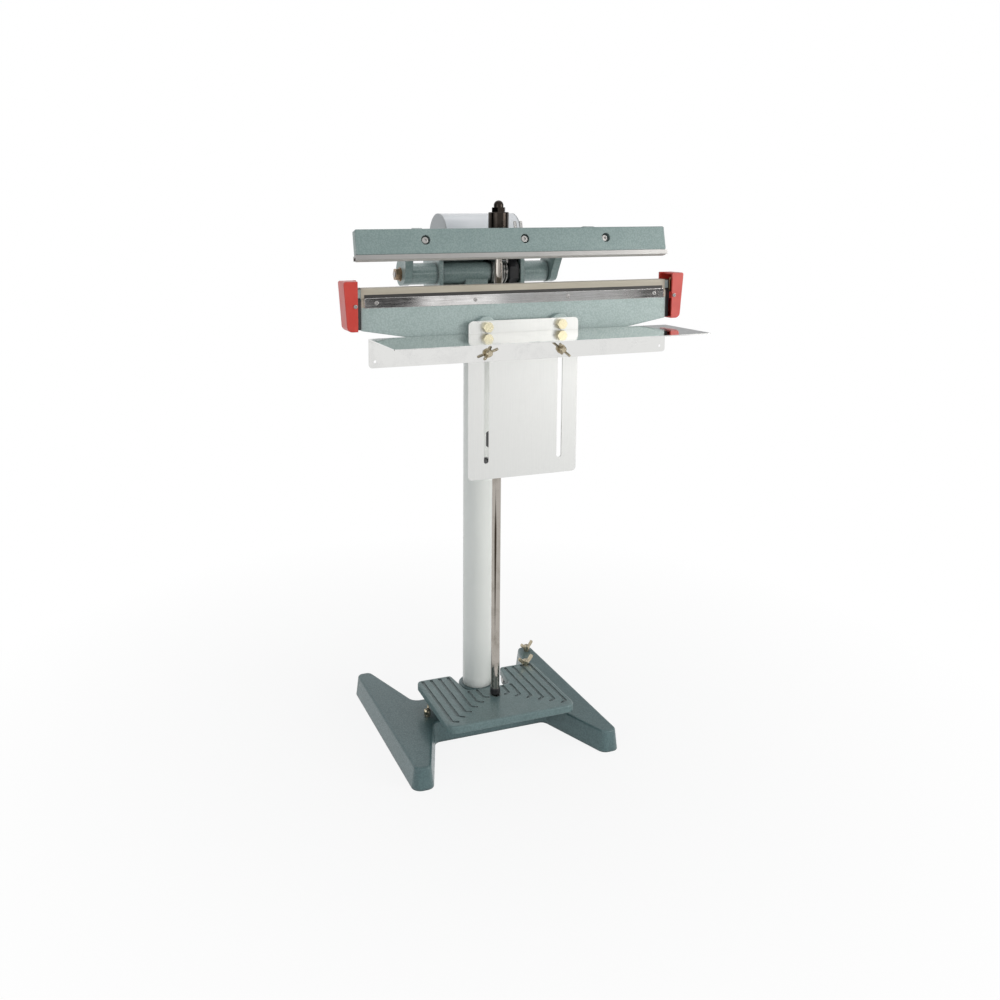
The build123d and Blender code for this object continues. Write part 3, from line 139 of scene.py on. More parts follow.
def noise(tree, place, scale, detail, **more):
    """Noise from 0 to 1 at the given places. Other sockets, such as Roughness, go by name."""
    values = {"Vector": place, "Scale": scale, "Detail": detail, **more}
    return add(tree, "TexNoise", values)


print("node helpers ready")

# %% Start and close a group
SOCKET_KINDS = {0: "NodeSocketFloat", 3: "NodeSocketVector", 4: "NodeSocketColor"}
SURFACE_OUTS = {"Color": "Color", "Roughness": "Float", "Height": "Float"}
LAYER_OUTS = {"Color": "Color", "Mask": "Float"}
EFFECTS = {}


def start_group(name, ins, outs):
    """Start a node group. ins gives each input's default value, outs each output's type."""
    tree = bpy.data.node_groups.new(name, "ShaderNodeTree")
    for label, value in ins.items():
        length = len(value) if hasattr(value, "__len__") else 0
        socket = tree.interface.new_socket(label, in_out="INPUT", socket_type=SOCKET_KINDS[length])
        socket.default_value = value
    for label, kind in outs.items():
        tree.interface.new_socket(label, in_out="OUTPUT", socket_type="NodeSocket" + kind)
    return tree, tree.nodes.new("NodeGroupInput").outputs


def close_group(tree, effect, **results):
    """Link the results to the group's outputs and keep the group under the effect's name."""
    leave = tree.nodes.new("NodeGroupOutput")
    for label, socket in results.items():
        tree.links.new(socket, leave.inputs[label])
    EFFECTS[effect] = tree
    print("effect", effect, "has", len(tree.nodes), "nodes")


def rgb(red, green, blue):
    return (red, green, blue, 1.0)


print("group helpers ready")

# %% [markdown]
# ## World
# A product picture like this one has a white background and soft light. A stronger lamp would whiten the
# background but bleach the machine too. So the world has two faces: the camera and mirrors see plain
# white, while everything else is lit by a weaker sky, which is brighter near the horizon than overhead.

# %% World
HORIZON_STRENGTH = 0.88
OVERHEAD_STRENGTH = 0.24
OVERHEAD_FROM = 0.8         # height on a unit sphere above which the sky is all overhead


def seen_by_camera_or_mirror(tree):
    rays = add(tree, "LightPath")
    return math_node(tree, "MAXIMUM", rays.outputs["Is Camera Ray"], rays.outputs["Is Glossy Ray"]), rays


def make_world():
    world = bpy.data.worlds.new("white_studio")
    bpy.context.scene.world = world
    world.use_nodes = True
    tree = world.node_tree
    tree.nodes.clear()
    seen, rays = seen_by_camera_or_mirror(tree)
    seen = math_node(tree, "MAXIMUM", seen, rays.outputs["Is Transmission Ray"])
    upward = add(tree, "SeparateXYZ", {0: add(tree, "TexCoord").outputs["Generated"]}).outputs["Z"]
    strength = remap(tree, upward, 0.0, OVERHEAD_FROM, HORIZON_STRENGTH, OVERHEAD_STRENGTH)
    lighting = add(tree, "Background", {"Color": rgb(0.96, 0.98, 1.0), "Strength": strength})
    backdrop = add(tree, "Background", {"Color": rgb(1.0, 1.0, 1.0), "Strength": 1.0})
    both = add(tree, "MixShader", {0: seen, 1: lighting.outputs[0], 2: backdrop.outputs[0]})
    add(tree, "OutputWorld", {"Surface": both.outputs[0]})
    print("world", world.name)


make_world()

# %% [markdown]
# ## Lamps
# Three large soft lamps model the shapes: one on the right for the bright sides, a weaker one on the left,
# and one above. They stay at a plain level, so a colour comes out about as it is written.

# %% Lamps
AIM = Vector((0.0, 0.0, 0.5))
LAMPS = {                   # place, size, watts, tint
    "key_lamp": ((1.9, -1.9, 0.95), 1.3, 28.0, (1.0, 0.985, 0.96)),
    "fill_lamp": ((-2.4, -1.9, 1.2), 1.8, 12.0, (0.95, 0.98, 1.0)),
    "top_lamp": ((0.2, 0.6, 3.2), 1.6, 8.0, (1.0, 1.0, 1.0)),
}


def face_point(thing, place, target):
    thing.location = place
    thing.rotation_mode = "QUATERNION"
    thing.rotation_quaternion = (Vector(target) - Vector(place)).to_track_quat("-Z", "Y")


for name, (place, size, watts, tint) in LAMPS.items():
    data = bpy.data.lights.new(name, "AREA")
    data.shape = "DISK"
    data.size, data.energy, data.color = size, watts, tint
    lamp = bpy.data.objects.new(name, data)
    bpy.context.scene.collection.objects.link(lamp)
    face_point(lamp, place, AIM)
print("lamps:", ", ".join(LAMPS))

# %% [markdown]
# ## Screens and cards
# In a white room bright metal turns white too, so a photographer stands grey screens and small cards where
# the metal mirrors them. Their edges fade, or a mirror would show a hard line. No camera sees them, and
# they give no shade. Two screens stand at the sides and one behind. The brown card on the floor is for the
# rod and the shelf, and the three cards in front are for the chromed strip.

# %% Screens and cards
SCREENS = {                 # place, width, height, colour, target, share of the card that fades
    "screen_left": ((-1.9, 0.1, 0.6), 0.9, 2.4, rgb(0.04, 0.04, 0.04), AIM, 0.06),
    "screen_right": ((1.6, -0.5, 0.6), 0.5, 2.4, rgb(0.04, 0.04, 0.04), AIM, 0.06),
    "screen_back": ((1.7, 1.9, 1.0), 1.6, 1.0, rgb(0.70, 0.70, 0.70), AIM, 0.06),
    "card_on_floor": ((-0.62, -0.75, 0.012), 0.95, 0.90, rgb(0.16, 0.13, 0.10), (-0.62, -0.75, 1.0), 0.22),
    "card_strip_left": ((0.04, -0.95, 0.66), 0.19, 0.15, rgb(0.03, 0.03, 0.03), AIM, 0.15),
    "card_strip_mid": ((0.48, -0.95, 0.66), 0.36, 0.15, rgb(0.80, 0.80, 0.80), AIM, 0.15),
    "card_strip_right": ((0.86, -0.95, 0.72), 0.56, 0.26, rgb(0.04, 0.04, 0.04), AIM, 0.12),
}


def card_finish(name, colour, soft):
    """A flat colour that fades to nothing towards the card's four edges."""
    finish = bpy.data.materials.new(name)
    finish.use_nodes = True
    tree = finish.node_tree
    tree.nodes.clear()
    place = add(tree, "SeparateXYZ", {0: add(tree, "TexCoord").outputs["Object"]})
    outward = [math_node(tree, "ABSOLUTE", place.outputs[axis]) for axis in "XY"]
    body = math_node(tree, "MULTIPLY", *(remap(tree, out, 0.5 - soft, 0.5, 1.0, 0.0) for out in outward))
    card = add(tree, "BsdfDiffuse", {"Color": colour}).outputs[0]
    both = add(tree, "MixShader", {0: body, 1: add(tree, "BsdfTransparent").outputs[0], 2: card})
    add(tree, "OutputMaterial", {"Surface": both.outputs[0]})
    return finish


for name, (place, width, height, colour, target, soft) in SCREENS.items():
    bpy.ops.object.select_all(action="DESELECT")
    bpy.ops.mesh.primitive_plane_add(size=1.0)
    screen = bpy.context.object
    screen.name = name
    screen.scale = (width, height, 1.0)
    face_point(screen, place, target)
    screen.visible_camera = screen.visible_diffuse = screen.visible_shadow = False
    screen.data.materials.append(card_finish(name, colour, soft))
print("screens and cards:", len(SCREENS))

# %% [markdown]
# ## Floor
# The floor is pale paper that glows white with distance, so it runs into the background with no horizon.
# Near the machine a little of the paper shows through, and with it the soft shadow that makes the base
# stand.

# %% Floor
FLOOR_SIZE = 60.0
PAPER = rgb(0.86, 0.86, 0.86)
FADE_FROM, FADE_TO = 0.25, 0.95     # metres from the origin over which the glow grows
NEAR_GLOW = 0.88


def make_floor():
    bpy.ops.object.select_all(action="DESELECT")
    bpy.ops.mesh.primitive_plane_add(size=FLOOR_SIZE, location=(0.0, 0.0, 0.0))
    floor = bpy.context.object
    floor.name = "studio_floor"
    white = bpy.data.materials.new("studio_floor")
    white.use_nodes = True
    tree = white.node_tree
    tree.nodes.clear()
    seen = seen_by_camera_or_mirror(tree)[0]
    place = add(tree, "TexCoord").outputs["Object"]
    far = add(tree, "VectorMath", {0: place}, operation="LENGTH").outputs["Value"]
    fade = remap(tree, far, FADE_FROM, FADE_TO, NEAR_GLOW, 1.0)
    paper = add(tree, "BsdfDiffuse", {"Color": PAPER}).outputs[0]
    glow = add(tree, "Emission", {"Color": rgb(1.0, 1.0, 1.0), "Strength": 1.0}).outputs[0]
    factor = math_node(tree, "MULTIPLY", seen, fade)
    both = add(tree, "MixShader", {0: factor, 1: paper, 2: glow})
    add(tree, "OutputMaterial", {"Surface": both.outputs[0]})
    floor.data.materials.append(white)


make_floor()
print("floor", FLOOR_SIZE, "m")

# %% [markdown]
# ## Effect: hammered paint
# The castings have a hammer finish, a thick paint that dries in shallow cells with a darker skin between
# them. A photo texture would repeat and need a file, so smooth Voronoi cells make it. A little noise bends
# the cells, and a slow noise makes patches. Every effect is a group, whose outputs are only colours, values
# and normals that change over the surface.

# %% Hammered paint
CELL_PUSH = (0.0045, 0.0045, 0.0045)     # metres by which the noise bends the cells


def make_hammer_group():
    ins = {"Cells": 330.0, "Light": rgb(0.4, 0.4, 0.4), "Dark": rgb(0.2, 0.2, 0.2)}
    tree, enter = start_group("HammeredPaint", ins, SURFACE_OUTS)
    place = object_place(tree)
    wander = noise(tree, place, 90.0, 2.0).outputs["Color"]
    push = add(tree, "VectorMath", {0: wander, 1: CELL_PUSH}, operation="MULTIPLY")
    bent = add(tree, "VectorMath", {0: place, 1: push.outputs[0]}, operation="ADD").outputs[0]
    values = {"Vector": bent, "Scale": enter["Cells"], "Smoothness": 0.35, "Randomness": 1.0}
    cells = add(tree, "TexVoronoi", values, feature="SMOOTH_F1")
    seam = remap(tree, cells.outputs["Distance"], 0.18, 0.62)
    patches = noise(tree, place, 22.0, 4.0, Roughness=0.6).outputs["Fac"]
    tone = math_node(tree, "ADD", seam, remap(tree, patches, 0.32, 0.68, -0.18, 0.18))
    close_group(tree, "hammer", Color=mix_colour(tree, tone, enter["Light"], enter["Dark"]),
                Roughness=remap(tree, seam, 0.0, 1.0, 0.24, 0.46),
                Height=remap(tree, seam, 0.0, 1.0, 1.0, 0.0))


make_hammer_group()

# %% [markdown]
# ## Effect: smooth paint
# The column, the hood and its end plates have a smooth paint. It isn't flat: it has a faint orange peel,
# which a fine noise gives, and its shade and gloss drift slowly over a hand's width. Blackened steel looks
# much the same, so it takes this effect too.

# %% Smooth paint
def make_peel_group():
    ins = {"Base": rgb(0.8, 0.8, 0.8), "Shade": rgb(0.7, 0.7, 0.7), "Gloss": 0.28}
    tree, enter = start_group("OrangePeel", ins, SURFACE_OUTS)
    place = object_place(tree)
    peel = noise(tree, place, 420.0, 2.0).outputs["Fac"]
    cloud = noise(tree, place, 9.0, 5.0, Roughness=0.62).outputs["Fac"]
    tone = remap(tree, cloud, 0.35, 0.7, 0.0, 0.55)
    rise = remap(tree, cloud, 0.3, 0.7, 0.0, 0.09)
    close_group(tree, "peel", Color=mix_colour(tree, tone, enter["Base"], enter["Shade"]),
                Roughness=math_node(tree, "ADD", enter["Gloss"], rise), Height=peel)


make_peel_group()

# %% [markdown]
# ## Effect: drawn metal
# Rolled, drawn and brushed metal has fine lines along one direction. Noise that is squeezed across the
# lines and stretched along them gives them, and Stretch says how much along each axis. A second noise adds
# the duller marks that hands leave.

# %% Drawn metal
def make_grain_group():
    ins = {"Stretch": (40.0, 40.0, 2600.0), "Base": rgb(0.8, 0.8, 0.8), "Shade": rgb(0.6, 0.6, 0.6),
           "Gloss": 0.3}
    tree, enter = start_group("BrushedGrain", ins, SURFACE_OUTS)
    place = add(tree, "TexCoord").outputs["Object"]
    drawn = add(tree, "VectorMath", {0: place, 1: enter["Stretch"]}, operation="MULTIPLY").outputs[0]
    line = remap(tree, noise(tree, drawn, 1.0, 3.0, Roughness=0.55).outputs["Fac"], 0.3, 0.7)
    marks = noise(tree, place, 14.0, 5.0, Roughness=0.65).outputs["Fac"]
    mark = remap(tree, marks, 0.4, 0.72, 0.0, 0.5)
    tone = math_node(tree, "ADD", math_node(tree, "MULTIPLY", line, 0.5), mark)
    line_rise, mark_rise = math_node(tree, "MULTIPLY", line, 0.07), math_node(tree, "MULTIPLY", mark, 0.16)
    rough = math_node(tree, "ADD", line_rise, mark_rise)
    close_group(tree, "grain", Color=mix_colour(tree, tone, enter["Base"], enter["Shade"]),
                Roughness=math_node(tree, "ADD", rough, enter["Gloss"]), Height=line)


make_grain_group()

# %% [markdown]
# ## Effect: polished metal
# The shelf, the rod, its sleeve and its dome nut are polished or chromed. A perfect mirror looks false, so
# a twisted noise lays a haze of hand marks on it, and faint level streaks bend the reflection a little.

# %% Polished metal
def make_polish_group():
    ins = {"Base": rgb(0.8, 0.8, 0.8), "Haze": rgb(0.7, 0.7, 0.7), "Gloss": 0.06}
    tree, enter = start_group("PolishedMarks", ins, SURFACE_OUTS)
    smear = noise(tree, object_place(tree), 26.0, 6.0, Roughness=0.7, Distortion=0.6).outputs["Fac"]
    haze = remap(tree, smear, 0.48, 0.74)
    streaks = noise(tree, object_place(tree, (30.0, 30.0, 700.0)), 1.0, 2.0).outputs["Fac"]
    rise = math_node(tree, "MULTIPLY", haze, 0.12)
    close_group(tree, "polish", Color=mix_colour(tree, haze, enter["Base"], enter["Haze"]),
                Roughness=math_node(tree, "ADD", rise, enter["Gloss"]), Height=streaks)


make_polish_group()

# %% [markdown]
# ## Effect: moulded plastic
# Moulded plastic and rubber copy the fine grain of their mould, and their colour changes a little where
# the plastic flowed last or was rubbed.

# %% Moulded plastic
def make_mould_group():
    ins = {"Base": rgb(0.1, 0.1, 0.1), "Worn": rgb(0.2, 0.2, 0.2), "Grain": 1800.0, "Gloss": 0.4}
    tree, enter = start_group("MouldedGrain", ins, SURFACE_OUTS)
    place = object_place(tree)
    grain = noise(tree, place, enter["Grain"], 2.0).outputs["Fac"]
    flow = noise(tree, place, 34.0, 4.0, Roughness=0.6).outputs["Fac"]
    tone = remap(tree, flow, 0.38, 0.78, 0.0, 0.7)
    rise = remap(tree, flow, 0.3, 0.7, 0.0, 0.12)
    close_group(tree, "mould", Color=mix_colour(tree, tone, enter["Base"], enter["Worn"]),
                Roughness=math_node(tree, "ADD", enter["Gloss"], rise), Height=grain)


make_mould_group()

# %% [markdown]
# ## Layers: dust, painted shade in corners, and worn and highlighted edges
# Three more effects lie over a finish and take its colour as Clean. Dust settles in patches on faces that
# look up. Grooves and corners, which the ambient occlusion node finds within 5 mm, get a painted shade.
# An edge could be bevelled in the mesh, but the CAD meshes stay as they are, so the bevel node rounds it in
# the shading, and where the rounded normal leans away from the flat one, the edge turns lighter, partly as
# worn paint and partly as a painted highlight.

# %% Dust on faces that look up
DUST = rgb(0.46, 0.44, 0.40)
# colour of the painted shade that the corner layer lays into grooves and corners
CORNER_SHADE = rgb(0.030, 0.034, 0.034)
CORNER_REACH_MM = 5


def make_dust_group():
    tree, enter = start_group("SettledDust", {"Clean": rgb(0.2, 0.2, 0.2), "Amount": 0.3}, LAYER_OUTS)
    facing = add(tree, "NewGeometry").outputs["Normal"]
    upward = add(tree, "SeparateXYZ", {0: facing}).outputs["Z"]
    film = noise(tree, object_place(tree), 38.0, 7.0, Roughness=0.72).outputs["Fac"]
    mask = math_node(tree, "MULTIPLY", remap(tree, upward, 0.35, 0.95), remap(tree, film, 0.36, 0.72))
    mask = math_node(tree, "MULTIPLY", mask, enter["Amount"])
    close_group(tree, "dust", Color=mix_colour(tree, mask, enter["Clean"], DUST), Mask=mask)


make_dust_group()


# %% Painted shade in grooves and corners
def make_corner_group():
    tree, enter = start_group("CornerShade", {"Clean": rgb(0.2, 0.2, 0.2), "Amount": 0.5}, LAYER_OUTS)
    open_sky = add(tree, "AmbientOcclusion", {"Distance": CORNER_REACH_MM * MM}, samples=6).outputs["AO"]
    patchiness = noise(tree, object_place(tree), 120.0, 4.0, Roughness=0.6).outputs["Fac"]
    uneven = remap(tree, patchiness, 0.3, 0.7, 0.7, 1.0)
    # the mask paints shade where the ambient occlusion finds walls close by
    mask = math_node(tree, "MULTIPLY", remap(tree, open_sky, 0.55, 0.92, 1.0, 0.0), uneven)
    mask = math_node(tree, "MULTIPLY", mask, enter["Amount"])
    close_group(tree, "corners", Color=mix_colour(tree, mask, enter["Clean"], CORNER_SHADE), Mask=mask)


make_corner_group()


# %% Rounded edges, worn and with a painted highlight
def make_edge_group():
    """Round: edge radius in mm. Amount: how much of it turns lighter, partly wear and partly painted
    highlight.
    """
    ins = {"Clean": rgb(0.2, 0.2, 0.2), "BareAndLit": rgb(0.5, 0.5, 0.5), "Amount": 0.5, "Round": 1.2}
    tree, enter = start_group("WornHighlightedEdges", ins, {**LAYER_OUTS, "Normal": "Vector"})
    radius = math_node(tree, "MULTIPLY", enter["Round"], MM)
    rounded = add(tree, "Bevel", {"Radius": radius}, samples=4).outputs["Normal"]
    flat = add(tree, "NewGeometry").outputs["Normal"]
    lean = add(tree, "VectorMath", {0: rounded, 1: flat}, operation="DOT_PRODUCT").outputs["Value"]
    chips = noise(tree, object_place(tree), 240.0, 5.0, Roughness=0.65).outputs["Fac"]
    # the lighter edge colour is partly worn paint and partly a painted highlight
    edge = remap(tree, lean, 0.86, 0.99, 1.0, 0.0)
    mask = math_node(tree, "MULTIPLY", edge, remap(tree, chips, 0.44, 0.60))
    mask = math_node(tree, "MULTIPLY", mask, enter["Amount"])
    close_group(tree, "edges", Color=mix_colour(tree, mask, enter["Clean"], enter["BareAndLit"]), Mask=mask,
                Normal=rounded)


make_edge_group()

# %% [markdown]
# ## Finishes
# A finish is one Principled shader fed by one surface effect and, where it has them, by the layers over it:
# dust, painted shade in corners and lighter edges. What is the same all over, such as how metallic or how
# clear-coated a surface is, goes straight on the shader. What changes over the surface comes from the
# effect. The bump's distance is in metres, so a hammered cell really stands a tenth of a millimetre high.

# %% Finish builder
finishes = {}


def make_finish(name, effect, effect_values, bump_mm, bump_strength=1.0, dust=0.0, corner_shade=0.0, wear=None,
                **shader_values):
    """A Principled material. The edge values: lighter colour (partly wear, partly painted highlight),
    amount, radius.
    """
    material = bpy.data.materials.new(name)
    material.use_nodes = True
    tree = material.node_tree
    shader = tree.nodes["Principled BSDF"]
    surface = add(tree, "Group", effect_values, node_tree=EFFECTS[effect])
    colour = surface.outputs["Color"]
    bump = {"Height": surface.outputs["Height"], "Distance": bump_mm * MM, "Strength": bump_strength}
    # dust is a layer of real dust, and the corners layer paints shade into grooves and corners
    for layer, amount in (("dust", dust), ("corners", corner_shade)):
        if amount:
            values = {"Clean": colour, "Amount": amount}
            colour = add(tree, "Group", values, node_tree=EFFECTS[layer]).outputs["Color"]
    if wear:
        values = {"Clean": colour, **dict(zip(("BareAndLit", "Amount", "Round"), wear))}
        worn = add(tree, "Group", values, node_tree=EFFECTS["edges"])
        colour = worn.outputs["Color"]
        bump["Normal"] = worn.outputs["Normal"]
    tree.links.new(colour, shader.inputs["Base Color"])
    tree.links.new(surface.outputs["Roughness"], shader.inputs["Roughness"])
    tree.links.new(add(tree, "Bump", bump).outputs["Normal"], shader.inputs["Normal"])
    for label, value in shader_values.items():
        shader.inputs[label.replace("_", " ")].default_value = value
    finishes[name] = material


print("finish builder ready")

# %% [markdown]
# ## Hammered paints
# The paints run from a pale grey green on the lower jaw to a dark one on the base. The upper jaw and its
# yoke take a darker copy of the lower jaw's paint, which is painted shade, and the head a glossier copy that
# lies between the two, lightened against the jaws' shade: painted shade and light. The pedal takes a lighter
# copy of the base's paint. Four of the paints differ only in a few values, so a table is enough for them.
# Only the pedal has dust on it, the head has the most painted shade in its corners, and the base has the
# widest rounded edges.

# %% Hammered paints
HAMMER_MM = 0.10
# In the table, bare is the edges' lighter colour, partly worn paint and partly painted highlight, and dirt
# is the amount of painted shade in grooves and corners.
HAMMERED = {                # cells, light, dark, (bare, amount, round mm), coat roughness, dust, dirt
    "jaw_paint": (420.0, rgb(0.450, 0.540, 0.525), rgb(0.330, 0.415, 0.400),
                  (rgb(0.62, 0.68, 0.66), 0.6, 1.5), 0.14, 0.0, 0.0),
    # the upper jaw's row is a darker copy of the jaw paint: painted shade
    "bar_shaded_paint": (420.0, rgb(0.275, 0.358, 0.346), rgb(0.198, 0.274, 0.264),
                  (rgb(0.50, 0.56, 0.54), 0.6, 1.5), 0.14, 0.0, 0.4),
    "base_paint": (380.0, rgb(0.104, 0.178, 0.184), rgb(0.070, 0.126, 0.131),
                   (rgb(0.26, 0.33, 0.33), 0.7, 4.0), 0.16, 0.0, 0.4),
    "pedal_paint": (380.0, rgb(0.150, 0.230, 0.232), rgb(0.104, 0.168, 0.170),
                    (rgb(0.34, 0.40, 0.40), 0.8, 2.0), 0.16, 0.06, 0.85),
}
for name, (cells, light, dark, wear, coat_roughness, dust, corner_shade) in HAMMERED.items():
    make_finish(name, "hammer", {"Cells": cells, "Light": light, "Dark": dark}, HAMMER_MM, 0.5, dust, corner_shade,
                wear, Metallic=0.1, Coat_Weight=0.25, Coat_Roughness=coat_roughness)
# The head's paint is a copy of the jaw paint, darker than the lower jaw's and lighter than the upper jaw's:
# painted shade, lightened against the shade that the jaws cast on it.
make_finish("head_shaded_paint", "hammer",
            {"Cells": 420.0, "Light": rgb(0.345, 0.435, 0.425), "Dark": rgb(0.235, 0.315, 0.305)},
            HAMMER_MM, 0.6, corner_shade=0.9, wear=(rgb(0.55, 0.60, 0.58), 0.7, 2.0),
            Metallic=0.15, Coat_Weight=0.6, Coat_Roughness=0.08)
print("hammered paints:", len(HAMMERED) + 1)

# %% [markdown]
# ## Smooth paints
# The column is off-white, the hood a cooler and glossier white whose thin edges carry a painted highlight,
# and its end plates grey. The black steel is a thin oxide skin, so a part of the metal still shows through.

# %% Smooth paints
def smooth_paint(name, base, shade, gloss, bump_mm, bump_strength, **more):
    values = {"Base": base, "Shade": shade, "Gloss": gloss}
    make_finish(name, "peel", values, bump_mm, bump_strength, **more)


smooth_paint("column_paint", rgb(0.83, 0.85, 0.815), rgb(0.77, 0.79, 0.755), 0.30, 0.05, 0.3,
             Coat_Weight=0.12, Coat_Roughness=0.2)
# the hood's bright edges are a painted highlight
smooth_paint("hood_paint", rgb(0.93, 0.95, 0.98), rgb(0.86, 0.89, 0.93), 0.2, 0.04, 0.25,
             wear=(rgb(0.97, 0.97, 0.97), 0.5, 0.6), Coat_Weight=0.3, Coat_Roughness=0.08)
smooth_paint("panel_paint", rgb(0.50, 0.52, 0.53), rgb(0.42, 0.44, 0.45), 0.38, 0.04, 0.3)
smooth_paint("black_steel", rgb(0.022, 0.022, 0.024), rgb(0.045, 0.043, 0.042), 0.34, 0.03, 0.3,
             Metallic=0.35)
print("finishes so far:", len(finishes))

# %% [markdown]
# ## Metals
# Each metal is the same shader with its own grain, two colours and a gloss. The plate is rolled steel with
# upright lines. Its bolts are yellow zinc, the small screws plain zinc, and the wing screws zinc that has
# dulled. The shelf, the rod and the sleeve are polished; the rod's chrome is darker and browner than clean
# chrome, partly a painted reflection of the dark things round it. The two strips that hold the cloth are
# chromed, and their rounded edges carry a painted highlight.

# %% Drawn and plated metals
METAL_BUMP = 0.6
GRAINED = {                 # stretch, base, shade, gloss, bump in mm
    "plate_steel": ((2400.0, 40.0, 22.0), rgb(0.68, 0.685, 0.67), rgb(0.60, 0.605, 0.595), 0.30, 0.012),
    "zinc_plain": ((700.0, 700.0, 700.0), rgb(0.46, 0.455, 0.445), rgb(0.27, 0.26, 0.25), 0.22, 0.01),
    "zinc_yellow": ((500.0, 500.0, 500.0), rgb(0.80, 0.75, 0.56), rgb(0.58, 0.50, 0.30), 0.24, 0.01),
    "dull_zinc": ((500.0, 500.0, 500.0), rgb(0.62, 0.56, 0.43), rgb(0.27, 0.22, 0.14), 0.17, 0.01),
    "aged_brass": ((500.0, 500.0, 500.0), rgb(0.40, 0.29, 0.19), rgb(0.17, 0.12, 0.08), 0.22, 0.01),
    "spring_steel": ((900.0, 900.0, 900.0), rgb(0.40, 0.39, 0.375), rgb(0.12, 0.11, 0.10), 0.18, 0.01),
    "bronze": ((300.0, 1400.0, 1400.0), rgb(0.46, 0.30, 0.15), rgb(0.22, 0.13, 0.07), 0.30, 0.012),
    "ribbon": ((60.0, 2200.0, 2200.0), rgb(0.44, 0.42, 0.40), rgb(0.24, 0.20, 0.19), 0.34, 0.008),
    "alloy": ((14.0, 2600.0, 2600.0), rgb(0.36, 0.355, 0.345), rgb(0.26, 0.255, 0.25), 0.28, 0.02),
    "iron_core": ((1300.0, 60.0, 60.0), rgb(0.30, 0.30, 0.31), rgb(0.14, 0.13, 0.13), 0.42, 0.03),
}
for name, (stretch, base, shade, gloss, bump_mm) in GRAINED.items():
    values = {"Stretch": stretch, "Base": base, "Shade": shade, "Gloss": gloss}
    make_finish(name, "grain", values, bump_mm, METAL_BUMP, Metallic=1.0)
print("drawn and plated metals:", len(GRAINED))

# %% Polished and chromed metals
POLISHED = {                # base, haze, gloss, bump in mm
    "shelf_steel": (rgb(0.76, 0.76, 0.745), rgb(0.69, 0.69, 0.68), 0.045, 0.003),
    # the rod's chrome is darker and browner than clean chrome: partly a painted reflection of dark
    # surroundings
    "rod_chrome": (rgb(0.41, 0.38, 0.345), rgb(0.27, 0.245, 0.21), 0.06, 0.004),
    "dark_chrome": (rgb(0.034, 0.028, 0.024), rgb(0.014, 0.012, 0.010), 0.16, 0.004),
}
for name, (base, haze, gloss, bump_mm) in POLISHED.items():
    values = {"Base": base, "Haze": haze, "Gloss": gloss}
    make_finish(name, "polish", values, bump_mm, METAL_BUMP, Metallic=1.0)
values = {"Stretch": (26.0, 600.0, 600.0), "Base": rgb(0.84, 0.83, 0.82), "Shade": rgb(0.42, 0.40, 0.39),
          "Gloss": 0.055}
# the strip's bright edge colour is a painted highlight on its rounded edges
make_finish("strip_chrome", "grain", values, 0.016, METAL_BUMP, wear=(rgb(0.92, 0.92, 0.91), 0.8, 1.0),
            Metallic=1.0)
print("polished and chromed metals:", len(POLISHED) + 1)

# %% [markdown]
# ## Plastics and rubbers
# The end caps are red plastic whose edges turn lighter, partly rubbed and partly a painted highlight. The
# blocks, knob and switch are black. The pressing strip is silicone rubber, the tape under the ribbon is
# brown glass cloth, and the timer's board is green. The ink of the marks round the knob is a plastic film
# too.

# %% Plastic and rubber finishes
MOULDED = {                 # base, worn, grain, gloss, bump in mm, bump strength, more
    # the caps' lighter edges are partly rubbed and partly a painted highlight
    "red_plastic": (rgb(0.60, 0.040, 0.025), rgb(0.70, 0.075, 0.050), 1500.0, 0.30, 0.02, 0.35,
                    {"wear": (rgb(0.80, 0.22, 0.18), 0.4, 1.0), "Coat_Weight": 0.12, "Coat_Roughness": 0.2}),
    "black_plastic": (rgb(0.020, 0.020, 0.021), rgb(0.040, 0.040, 0.041), 1800.0, 0.42, 0.03, 0.4, {}),
    "silicone": (rgb(0.46, 0.45, 0.42), rgb(0.38, 0.37, 0.34), 2400.0, 0.55, 0.02, 0.3, {}),
    "tape": (rgb(0.30, 0.17, 0.07), rgb(0.20, 0.11, 0.05), 2600.0, 0.5, 0.02, 0.4, {}),
    "board": (rgb(0.03, 0.16, 0.07), rgb(0.05, 0.21, 0.10), 1800.0, 0.35, 0.01, 0.3, {}),
    "mark_ink": (rgb(0.03, 0.03, 0.032), rgb(0.06, 0.06, 0.06), 1800.0, 0.5, 0.01, 0.2, {}),
}
for name, (base, worn, grain, gloss, bump_mm, bump_strength, more) in MOULDED.items():
    values = {"Base": base, "Worn": worn, "Grain": grain, "Gloss": gloss}
    make_finish(name, "mould", values, bump_mm, bump_strength, **more)
print("plastics and rubbers:", len(MOULDED))

# %% [markdown]
# ## Two-part finishes
# The pilot lamp and the fuse holder share a node, and so do the small switch and its metal bracket. Their
# place on the machine tells them apart, so a mask on Object coordinates picks the colour and how metallic
# the surface is. A fine speckle changes the shade and the roughness a little.

# %% Two-part finishes
EDGE_BLUR = 0.1 * MM


